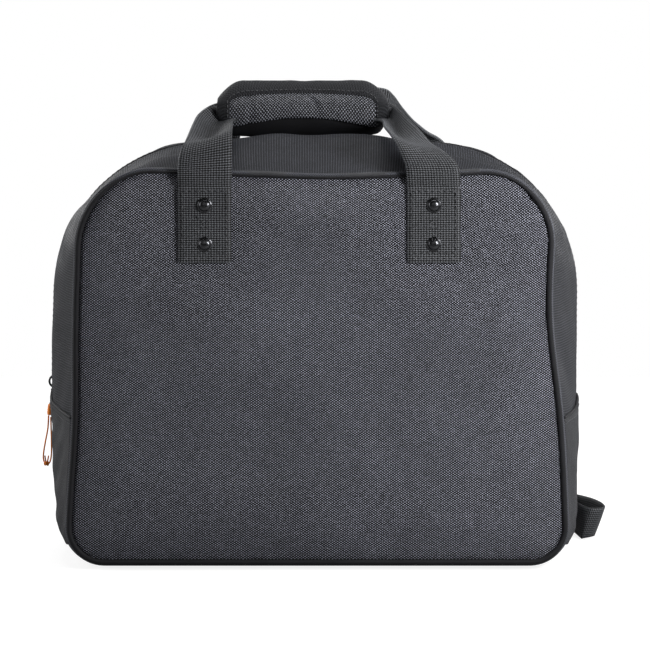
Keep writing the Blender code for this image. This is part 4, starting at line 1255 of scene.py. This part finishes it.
# Outer and inner edge of each front riser, from behind its tab, over the bend and into the wrap
FRONT_RISERS = {
    "left": [((-0.1010, -0.1216, 0.2800), (-0.0636, -0.1216, 0.2800)),
             ((-0.1012, -0.1240, 0.2900), (-0.0632, -0.1240, 0.2900)),
             ((-0.1010, -0.1246, 0.3000), (-0.0630, -0.1248, 0.3030)),
             ((-0.0998, -0.1236, 0.3085), (-0.0630, -0.1240, 0.3165)),
             ((-0.0980, -0.1185, 0.3142), (-0.0632, -0.1185, 0.3240)),
             ((-0.0962, -0.1080, 0.3172), (-0.0634, -0.1050, 0.3264)),
             ((-0.0940, -0.0850, 0.3220), (-0.0638, -0.0800, 0.3276)),
             ((-0.0915, -0.0580, 0.3280), (-0.0642, -0.0560, 0.3290)),
             ((-0.0880, -0.0340, 0.3340), (-0.0640, -0.0400, 0.3305)),
             ((-0.0790, -0.0200, 0.3400), (-0.0625, -0.0330, 0.3300)),
             ((-0.0660, -0.0150, 0.3430), (-0.0580, -0.0290, 0.3300))],
    "right": [((0.0670, -0.1216, 0.2800), (0.1044, -0.1216, 0.2800)),
              ((0.0664, -0.1240, 0.2900), (0.1042, -0.1240, 0.2900)),
              ((0.0655, -0.1246, 0.2985), (0.1030, -0.1240, 0.2980)),
              ((0.0630, -0.1244, 0.3060), (0.0975, -0.1222, 0.3060)),
              ((0.0590, -0.1230, 0.3150), (0.0905, -0.1165, 0.3112)),
              ((0.0545, -0.1190, 0.3230), (0.0840, -0.1080, 0.3152)),
              ((0.0515, -0.1080, 0.3266), (0.0765, -0.0900, 0.3232)),
              ((0.0505, -0.0800, 0.3280), (0.0690, -0.0620, 0.3296)),
              ((0.0500, -0.0500, 0.3295), (0.0625, -0.0400, 0.3350)),
              ((0.0470, -0.0340, 0.3300), (0.0560, -0.0220, 0.3400)),
              ((0.0400, -0.0290, 0.3300), (0.0480, -0.0150, 0.3430))],
}


def strap(name, edges, thickness, material, steps=6, columns=9, crown=0.0006, pinch=None):
    """Webbing between two edge lines, a little crowned across its width and sunk in its middle by pinch."""
    first = through([pair[0] for pair in edges], steps)
    second = through([pair[1] for pair in edges], steps)
    share = np.linspace(0, 1, columns)
    grid = first[:, None] + (second - first)[:, None] * share[None, :, None]
    normals = grid_normals(grid)
    rise = crown * (1 - (2 * share - 1) ** 2)[None, :]
    if pinch:
        depth = np.interp(np.arange(len(first)) / steps, np.arange(len(pinch)), pinch)
        rise = rise - depth[:, None] * (1 - np.abs(2 * share - 1) ** 1.2)[None, :]
    grid = grid + normals * rise[..., None]
    width = float(np.linalg.norm(second - first, axis=1).max())
    length = line_lengths((first + second) / 2)
    cloth = spread(share[None, :] * width, length[:, None], 0.0)
    return slab(name, grid, thickness, material, cloth)


# How far the middle of the webbing is folded in at each of those places
RISER_PINCH = (0.0, 0.0, 0.0, 0.0002, 0.0012, 0.0050, 0.0085, 0.0095, 0.0090, 0.0060, 0.0040)


def make_front_risers():
    ends = bend_ends("front_handle_swing")
    for side, edges in FRONT_RISERS.items():
        riser = strap("front_handle_riser_" + side, edges, WEBBING_T, WEBBING, columns=13, pinch=RISER_PINCH)
        nodes = ("front_handle_webbing",) if side == "left" else ()
        blend_piece(riser, ("front_half", "front_handle"), ends, "webbing", *nodes)


# Outer and inner edge of the rear strap's right half, from behind its tab to the middle of its bar
REAR_RISER = [((0.1047, 0.1216, 0.2800), (0.0667, 0.1216, 0.2800)),
              ((0.1047, 0.1242, 0.2900), (0.0665, 0.1242, 0.2900)),
              ((0.1036, 0.1246, 0.2990), (0.0662, 0.1248, 0.3010)),
              ((0.1000, 0.1235, 0.3060), (0.0656, 0.1244, 0.3090)),
              ((0.0946, 0.1190, 0.3105), (0.0650, 0.1210, 0.3150)),
              ((0.0870, 0.1060, 0.3150), (0.0645, 0.1080, 0.3180)),
              ((0.0780, 0.0800, 0.3225), (0.0630, 0.0800, 0.3205)),
              ((0.0700, 0.0560, 0.3300), (0.0600, 0.0560, 0.3230)),
              ((0.0630, 0.0340, 0.3380), (0.0560, 0.0340, 0.3255)),
              ((0.0570, 0.0190, 0.3460), (0.0530, 0.0190, 0.3280)),
              ((0.0500, 0.0130, 0.3510), (0.0480, 0.0130, 0.3300)),
              ((0.0300, 0.0120, 0.3520), (0.0300, 0.0120, 0.3305)),
              ((0.0100, 0.0120, 0.3520), (0.0100, 0.0120, 0.3305))]


def make_rear_handle():
    left = [(mirrored(outer), mirrored(inner)) for outer, inner in REAR_RISER[::-1]]
    handle = strap("rear_handle_strap", REAR_RISER + left, 0.0024, WEBBING)
    blend_piece(handle, ("shell", "rear_handle"), bend_ends("rear_handle_swing"), "webbing", "rear_handle_webbing")


def mirrored(point):
    """The same point on the other side; the left tab is a little further in than the right one."""
    return (-point[0] + 0.0034 * min(point[0] / 0.0667, 1.0), point[1], point[2])


make_front_risers()
make_rear_handle()


# ---------------------------------------------------------------- grip and its flap

FLAP_STOP = math.radians(-277)
SIDE_BINDING_W = 0.0088
TOP_BINDING_W = 0.0190


def wrap_point(x, angle, lift=0.0):
    """A point round the grip: it sags at mid-length and bulges at the top, as a stuffed roll does."""
    middle = (GRIP_LEFT + GRIP_RIGHT) / 2
    share = (x - middle) / ((GRIP_RIGHT - GRIP_LEFT) / 2)
    rising = np.maximum(np.sin(angle), 0.0)
    falling = np.maximum(-np.sin(angle), 0.0)
    shoulder = np.clip((np.abs(share) - 0.68) / 0.32, 0.0, 1.0) ** 1.9
    y = FRONT_BAR_Y + (GRIP_HALF_Y - 0.0030 * shoulder + lift) * np.cos(angle)
    z = GRIP_Z + (GRIP_HALF_Z - 0.0138 * shoulder + lift) * rising
    z = z - (GRIP_HALF_Z + GRIP_HANG * (1 - 0.7 * share ** 12) - 0.0030 * shoulder + lift) * falling
    sag = -0.0008 * (1 - share ** 2) * rising
    return spread(x + 0 * y, y, z + sag)


def make_grip_pad():
    xs = np.linspace(GRIP_LEFT + 0.0015, GRIP_RIGHT - 0.0015, 67)
    angles = np.linspace(0, 2 * math.pi, 49)[:-1]
    end = np.minimum(xs - xs[0], xs[-1] - xs)
    shrink = 0.0026 + 0.0050 * (1 - np.sqrt(1 - (1 - np.clip(end / 0.006, 0, 1)) ** 2))
    rows = [wrap_point(np.full(len(angles), x), angles, -inset) for x, inset in zip(xs, shrink)]
    grid = np.array(rows)
    normals = grid_normals(grid, wrap=True)
    folds = 0.0004 * ripple(grid, 0.020, 61, (1.0, 0.4, 0.4)) * smooth(end, 0.0, 0.01)[:, None]
    grid = grid + normals * folds[..., None]
    girth = math.pi * (GRIP_HALF_Y + GRIP_HALF_Z)
    cloth = spread(xs[:, None], angles[None, :] / (2 * math.pi) * girth, 0.0)
    # Where it shows below the flap, its near-black cover is partly painted shade
    pad = slab("grip_padding", grid, 0.0070, GRIP_LINING_AND_SHADE, cloth, lining=LINING, wrap=True, edge=0.35)
    stuffed(pad, np.repeat((end > 0.004)[:, None], len(angles), axis=1), 0.0008)
    finish_piece(pad, "front_handle", "shell", "grip_pad")


def flap_start(x):
    """Angle of the flap's lower edge: it is drawn up in the middle."""
    middle = (GRIP_LEFT + GRIP_RIGHT) / 2
    share = np.clip(np.abs(x - middle) / ((GRIP_RIGHT - GRIP_LEFT) / 2), 0, 1)
    return np.radians(-161 + 26 * share ** 1.7)


def flap_angle(x, share):
    start = flap_start(x)
    return start + (FLAP_STOP - start) * share


def flap_half_length(share):
    """Half length of the flap: its two free corners are rounded."""
    whole = (GRIP_RIGHT - GRIP_LEFT) / 2
    rounded = np.clip((share - 0.72) / 0.28, 0, 1)
    return whole - 0.0100 * (1 - np.sqrt(1 - rounded ** 2 * 0.999))


def flap_wrinkles(points, across, share):
    """Small creases of the wrapped flap, deepest where it is folded under."""
    low = smooth(-share, -0.55, -0.05)
    relief = 0.00045 * ripple(points, 0.030, 71, (1.0, 0.5, 0.5))
    crease_at = 0.006 + 0.004 * np.sin(share * 9)
    relief = relief - 0.0011 * bell(across, crease_at, 0.0022) * smooth(share, 0.05, 0.2)
    relief = relief + 0.0007 * bell(across, crease_at + 0.004, 0.0030) * smooth(share, 0.05, 0.2)
    relief = relief - 0.0009 * bell(across, -0.040 + 0.01 * share, 0.0025) * low
    return relief * (1 - smooth(share, 0.30, 0.42))


def make_flap():
    middle = (GRIP_LEFT + GRIP_RIGHT) / 2
    share = np.linspace(0, 1, 49)
    across = np.linspace(-1, 1, 91)
    half = flap_half_length(share)[:, None] - 0.0008
    x = middle + half * across[None, :]
    points = wrap_point(x, flap_angle(x, share[:, None]))
    normals = unit(points - spread(x, FRONT_BAR_Y, GRIP_Z))
    relief = flap_wrinkles(points, x - middle, share[:, None] + 0 * x)
    grid = points + normals * relief[..., None]
    girth = 0.034
    cloth = spread(x, share[:, None] * girth, 0.0)
    flap = slab("grip_flap_cloth", grid, FLAP_T, NYLON_GRIP, cloth, lining=LINING)

    # The binding follows the flap's left side, free edge and right side
    edge = [(-1.0, s) for s in np.linspace(0, 1, 40)]
    edge += [(a, 1.0) for a in np.linspace(-1, 1, 60)[1:-1]]
    edge += [(1.0, s) for s in np.linspace(1, 0, 40)]
    line = np.array([(a * float(flap_half_length(s)), s * girth) for a, s in edge])
    line = even(line, 190)
    whole = (GRIP_RIGHT - GRIP_LEFT) / 2
    steps = np.linspace(0, 1, 9)
    rows = []
    for step in steps:
        plan = line * (1 - step * SIDE_BINDING_W / whole, 1 - step * TOP_BINDING_W / girth)
        angle = flap_angle(middle + plan[:, 0], plan[:, 1] / girth)
        rows.append(wrap_point(middle + plan[:, 0], angle, 0.0008 * (1 - 0.5 * step ** 6)))
    grid = np.array(rows)
    outward = unit(grid - spread(grid[..., 0], FRONT_BAR_Y, GRIP_Z))
    grid = grid + outward * (0.00016 * ripple(grid, 0.016, 72))[..., None]
    cloth = spread(line_lengths(line)[None, :], (steps * 0.01)[:, None], 0.0)
    binding = slab("grip_flap_binding", grid, FLAP_T + 0.0014, GRIP_BINDING, cloth, flip=True, edge=0.5)
    sewing = stitches("grip_flap_stitching", grid[7] + outward[7] * 0.0003, outward[7], THREAD,
                      length=0.0024, gap=0.0012, radius=0.00032)
    finish_piece(flap, "grip_leaf", "shell", "grip_leaf")
    finish_piece(binding, "grip_leaf", "binding")
    finish_piece(sewing, "grip_leaf", "webbing")


make_grip_pad()
make_flap()


# ---------------------------------------------------------------- inside

def make_ball_cup():
    low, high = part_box("ball_cup")
    outer = (high.x - low.x) / 2 - 0.0006
    height = high.z - low.z
    foot = low.z
    section = [(outer - 0.0010, 0.0006), (outer, height * 0.20), (outer + 0.0002, height * 0.42),
               (outer - 0.0022, height * 0.72), (outer - 0.0080, height * 0.96), (outer - 0.0135, height),
               (outer - 0.0200, height * 0.80), (outer - 0.0240, height * 0.50), (outer - 0.0255, height * 0.25),
               (outer - 0.0250, 0.0006)]
    line = even(through(section, 6), 40)
    turns = np.linspace(0, 2 * math.pi, 121)[:-1]
    grid = np.stack([line[:, :1] * np.cos(turns), line[:, :1] * np.sin(turns),
                     np.repeat(foot + line[:, 1:], len(turns), axis=1)], axis=-1)
    normals = grid_normals(grid, wrap=True)
    puckers = 0.00035 * np.cos(turns * 48)[None, :] * bell(line[:, 1], height * 0.35, 0.006)[:, None]
    seams = -0.0010 * np.exp(-(((turns * 4 / math.pi) % 2 - 1) / 0.03) ** 2)[None, :]
    grid = grid + normals * (puckers + seams)[..., None]
    run = line_lengths(line)
    cloth = spread(turns[None, :] * outer, run[:, None], 0.0)
    cup = slab("ball_cup_cushion", grid, 0.0030, LINING, cloth, wrap=True)
    loose = np.arange(len(line)) % (len(line) - 1) > 1
    stuffed(cup, np.repeat(loose[:, None], len(turns), axis=1), 0.0010)
    finish_piece(cup, "shell", "foam", "ball_cup")


def make_board():
    low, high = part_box("base_board")
    half_x, half_y, corner = (high.x - low.x) / 2, (high.y - low.y) / 2, 0.020
    rows = np.linspace(-half_y, half_y, 61)
    beyond = np.clip((np.abs(rows) - (half_y - corner)) / corner, 0, 1)
    reach = half_x - corner * (1 - np.sqrt(1 - beyond ** 2))
    across = np.linspace(-1, 1, 81)
    x = reach[:, None] * across[None, :]
    grid = spread(x, rows[:, None], high.z)
    board = slab("base_board_cover", grid, high.z - low.z, BOARD, edge=0.25)
    finish_piece(board, "shell", "board", "base_board")


make_ball_cup()
make_board()


# ---------------------------------------------------------------- back harness

BACKWARD = (0.0, 1.0, 0.0)
HARNESS_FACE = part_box("harness_yoke")[0].y
LOCK_LOW, LOCK_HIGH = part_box("ladder_lock_right")
LOCK_Z = (LOCK_LOW.z + LOCK_HIGH.z) / 2
LOCK_X = (LOCK_LOW.x + LOCK_HIGH.x) / 2
LOCK_HALF_W = (LOCK_HIGH.x - LOCK_LOW.x) / 2
LOCK_HALF_H = (LOCK_HIGH.z - LOCK_LOW.z) / 2
YOKE_LOW, YOKE_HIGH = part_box("harness_yoke")
PAD_LOW, PAD_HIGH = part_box("shoulder_strap_right")
PAD_T = PAD_HIGH.y - PAD_LOW.y


def make_yoke():
    half_x = (YOKE_HIGH.x - YOKE_LOW.x) / 2
    half_z = (YOKE_HIGH.z - YOKE_LOW.z) / 2
    middle = (YOKE_HIGH.z + YOKE_LOW.z) / 2
    rows = np.linspace(-half_z, half_z, 25)
    beyond = np.clip((np.abs(rows) - (half_z - 0.006)) / 0.006, 0, 1)
    reach = half_x - 0.006 * (1 - np.sqrt(1 - beyond ** 2))
    across = np.linspace(-1, 1, 61)
    x = reach[:, None] * across[None, :]
    inside = (1 - np.abs(across[None, :]) ** 6) * (1 - np.abs(rows[:, None] / half_z) ** 4)
    y = HARNESS_FACE + (YOKE_HIGH.y - YOKE_LOW.y) * (0.70 + 0.35 * inside)
    grid = spread(x, y, middle + rows[:, None])
    thickness = grid[..., 1] - HARNESS_FACE
    yoke = slab("harness_yoke_cover", grid, thickness, NYLON_BAND, flip=True, edge=0.2)
    finish_piece(yoke, "shell", "shell", "harness_yoke")
    face_y = YOKE_HIGH.y + 0.0002
    rows = []
    for left, right in ((-0.050, -0.012), (0.012, 0.050)):
        box = [(left, -0.010), (right, -0.010), (right, 0.010), (left, 0.010), (left, -0.010), (right, 0.010)]
        for index in range(len(box) - 1):
            rows.append(np.array([(x, face_y, middle + z) for x, z in even(box[index:index + 2], 6)]))
    sewn("harness_yoke_stitching", rows, BACKWARD, "shell")


def pad_edges(sign, count):
    """Inner and outer edge of a shoulder strap in X and Z, from its top to its tip."""
    share = np.linspace(0, 1, count)
    z = PAD_HIGH.z + (PAD_LOW.z - PAD_HIGH.z) * share
    centre = 0.031 + (LOCK_X - 0.031) * share ** 1.4
    half = 0.024 - 0.005 * share
    tip = np.clip((share - 0.93) / 0.07, 0, 1)
    half = half * (0.62 + 0.38 * np.sqrt(1 - tip ** 2))
    return sign * (centre - half), sign * (centre + half), z


def make_shoulder_strap(side, sign):
    inner, outer, z = pad_edges(sign, 65)
    share = np.linspace(0, 1, 25)
    x = inner[:, None] + (outer - inner)[:, None] * share[None, :]
    centred = 2 * share - 1
    crown = np.sqrt(np.clip(1 - centred ** 4, 0, 1))[None, :]
    ends = np.sqrt(np.clip(1 - np.linspace(-1, 1, 65) ** 24, 0, 1))[:, None]
    height = PAD_T * (0.42 + 0.60 * crown * ends)
    grid = spread(x, HARNESS_FACE + height, z[:, None])
    puckers = 0.0005 * ripple(grid, 0.026, 81 + sign, (0.5, 1.0, 1.2)) * crown * ends
    channel = -0.0012 * (bell(share, 0.20, 0.035) + bell(share, 0.80, 0.035))[None, :] * ends
    grid[..., 1] += puckers + channel
    length = line_lengths(np.stack([(inner + outer) / 2, z], axis=1))
    cloth = spread(x, length[:, None], 0.0)
    thickness = np.maximum(grid[..., 1] - HARNESS_FACE - 0.0004, 0.0012)
    pad = slab("shoulder_strap_" + side + "_padding", grid, thickness, NYLON_BAND, cloth, lining=MESH_LINING,
               flip=sign < 0, edge=0.2)
    inside = (np.abs(centred) < 0.9)[None, :] & (np.abs(np.linspace(-1, 1, 65)) < 0.95)[:, None]
    stuffed(pad, inside, 0.0010)
    finish_piece(pad, "shell", "shell", "shoulder_strap_" + side)

    mid_y = HARNESS_FACE + PAD_T * 0.26
    rim = [(x_at, mid_y, z_at) for x_at, z_at in zip(outer, z)]
    rim += [(x_at, mid_y, z_at) for x_at, z_at in zip(inner[::-1], z[::-1])]
    rim = even(rim + rim[:1], 220)[:-1]
    binding = tube("shoulder_strap_" + side + "_binding", rim, 0.0024, BINDING, closed=True)
    finish_piece(binding, "shell", "binding")

    # A strip of webbing is sewn down the middle and loops through the ladder lock's top bar
    top_z = LOCK_Z + LOCK_HALF_H
    centre_x = (inner + outer) / 2
    heights = even(np.stack([centre_x, z], axis=1), 60)
    spine = [(x_at, HARNESS_FACE + PAD_T * 1.02 + 0.0006, z_at) for x_at, z_at in heights[:52]]
    spine += [(sign * LOCK_X, HARNESS_FACE + PAD_T * 0.75, PAD_LOW.z + 0.002),
              (sign * LOCK_X, HARNESS_FACE + 0.0052, top_z + 0.0002),
              (sign * LOCK_X, HARNESS_FACE + 0.0049, top_z - 0.0035)]
    spine = np.array(spine)
    half = STRAP_W / 2
    edges = [((x_at - half, y_at, z_at), (x_at + half, y_at, z_at)) for x_at, y_at, z_at in spine]
    strip = strap("shoulder_strap_" + side + "_webbing", edges, STRAP_T, STRAP_WEBBING, steps=2, crown=0.0)
    finish_piece(strip, "shell", "webbing")
    rows = [spine[:50] + (offset, 0.0001, 0.0) for offset in (-half + 0.0025, half - 0.0025)]
    sewn("shoulder_strap_" + side + "_stitching", rows, BACKWARD, "shell")


def rounded_loop(half_x, half_z, radius, count):
    corners = []
    for quarter, (side_x, side_z) in enumerate(((1, 1), (-1, 1), (-1, -1), (1, -1))):
        centre = (side_x * (half_x - radius), side_z * (half_z - radius))
        for angle in np.radians(np.linspace(90 * quarter, 90 * quarter + 90, 7)):
            corners.append((centre[0] + radius * math.cos(angle), centre[1] + radius * math.sin(angle)))
    return even(corners + corners[:1], count + 1)[:-1]


def make_ladder_lock(side, sign):
    centre = np.array([sign * LOCK_X, HARNESS_FACE + 0.0024, LOCK_Z])
    bar = 0.0021
    loop = rounded_loop(LOCK_HALF_W - bar, LOCK_HALF_H - bar, 0.0028, 72)
    path = spread(centre[0] + loop[:, 0], centre[1], centre[2] + loop[:, 1])
    pieces = [tube("frame", path, bar, BUCKLE, sides=12, closed=True)]
    # The middle bar is arched and ribbed, so that it grips the webbing; the lower one is plain
    xs = np.linspace(-(LOCK_HALF_W - bar), LOCK_HALF_W - bar, 31)
    for rise, radius, arch, ribs in ((-0.0002, 0.0021, 0.0010, 0.00022), (-0.0040, 0.0012, 0.0, 0.0)):
        path = spread(centre[0] + xs, centre[1] + arch * (1 - (xs / LOCK_HALF_W) ** 2), centre[2] + rise)
        radii = radius + ribs * np.cos(xs * 2 * math.pi / 0.0026)
        pieces.append(tube("bar", path, radii, BUCKLE, sides=12))
    finish_piece(joined("ladder_lock_" + side + "_frame", pieces), "shell", "buckle", "ladder_lock_" + side)


def make_anchor(side, sign):
    """Folded end of webbing sewn into the bottom corner, with a boxed cross of stitches."""
    lower = even([(0.1425, 0.0190), (0.1655, 0.0190), (0.1735, 0.0302)], 17)
    upper = even([(0.1505, 0.0415), (0.1610, 0.0425), (0.1712, 0.0430)], 17)
    share = np.linspace(0, 1, 13)[:, None, None]
    plan = lower[None] + (upper - lower)[None] * share
    grid = spread(sign * plan[..., 0], HARNESS_FACE + 0.0022, plan[..., 1])
    anchor = slab("strap_anchor_" + side + "_cloth", grid, 0.0020, STRAP_WEBBING, flip=sign > 0)
    finish_piece(anchor, "shell", "webbing", "strap_anchor_" + side)
    box = [grid[spot] for spot in ((2, 2), (2, 14), (10, 14), (10, 2), (2, 2), (10, 14), (10, 2), (2, 14))]
    rows = [even(box[index:index + 2], 4) + (0.0, 0.0002, 0.0) for index in range(len(box) - 1)]
    sewn("strap_anchor_" + side + "_stitching", rows, BACKWARD, "shell", length=0.0022, gap=0.0012)


def make_left_webbing():
    half = STRAP_W / 2
    top = LOCK_Z - LOCK_HALF_H
    y = HARNESS_FACE + 0.0042
    edges = [((-LOCK_X - half, y + 0.0006, top + 0.0045), (-LOCK_X + half, y + 0.0006, top + 0.0045)),
             ((-LOCK_X - half, y + 0.0006, top), (-LOCK_X + half, y + 0.0006, top)),
             ((-LOCK_X - half - 0.004, y, top - 0.008), (-LOCK_X + half - 0.002, y, top - 0.014)),
             ((-0.1120, y, 0.0605), (-0.0960, y, 0.0410)),
             ((-0.1520, y, 0.0400), (-0.1380, y, 0.0200))]
    strip = strap("strap_webbing_left_cloth", edges, STRAP_T, STRAP_WEBBING)
    finish_piece(strip, "shell", "webbing", "strap_webbing_left")


# The loose end of webbing runs down from the lock, stands on edge and loops out past the bag's side
LOOSE_ROUTE = [
    ((LOCK_X, 0.1249, LOCK_Z - LOCK_HALF_H + 0.0045), (1.0, 0.0, 0.0)),
    ((LOCK_X + 0.001, 0.1250, LOCK_Z - LOCK_HALF_H), (1.0, 0.0, 0.0)),
    ((LOCK_X + 0.004, 0.1252, LOCK_Z - LOCK_HALF_H - 0.013), (0.97, 0.0, 0.24)),
    ((0.0960, 0.1264, 0.0480), (0.70, 0.0, 0.71)),
    ((0.1300, 0.1277, 0.0300), (0.35, 0.0, 0.94)),
    ((0.1700, 0.1305, 0.0165), (0.12, 0.0, 0.99)),
    ((0.2010, 0.1225, 0.0134), (0.0, 0.0, 1.0)),
    ((0.2145, 0.1000, 0.0130), (0.05, 0.0, 1.0)),
    ((0.2200, 0.0740, 0.0130), (0.20, 0.0, 0.98)),
    ((0.2205, 0.0520, 0.0130), (0.34, 0.0, 0.94)),
    ((0.2165, 0.0425, 0.0130), (0.38, 0.0, 0.925)),
    ((0.2095, 0.0405, 0.0130), (0.30, 0.0, 0.95)),
    ((0.2060, 0.0480, 0.0130), (0.12, 0.0, 0.99)),
    ((0.2035, 0.0640, 0.0130), (0.03, 0.0, 1.0)),
    ((0.2000, 0.0850, 0.0138), (0.0, 0.0, 1.0)),
    ((0.1950, 0.1090, 0.0165), (0.05, 0.0, 1.0)),
    ((0.1860, 0.1238, 0.0235), (0.30, 0.0, 0.95)),
    ((0.1620, 0.1238, 0.0310), (0.45, 0.0, 0.89)),
]


def make_right_webbing():
    edges = []
    for centre, across in LOOSE_ROUTE:
        reach = unit(across) * (STRAP_W / 2 - 0.0003)
        edges.append((tuple(np.array(centre) - reach), tuple(np.array(centre) + reach)))
    strip = strap("strap_webbing_right_cloth", edges, STRAP_T, STRAP_WEBBING, steps=8, crown=0.0004)
    finish_piece(strip, "shell", "webbing", "strap_webbing_right")


make_yoke()
for side, sign in (("left", -1), ("right", 1)):
    make_shoulder_strap(side, sign)
    make_ladder_lock(side, sign)
    make_anchor(side, sign)
make_left_webbing()
make_right_webbing()
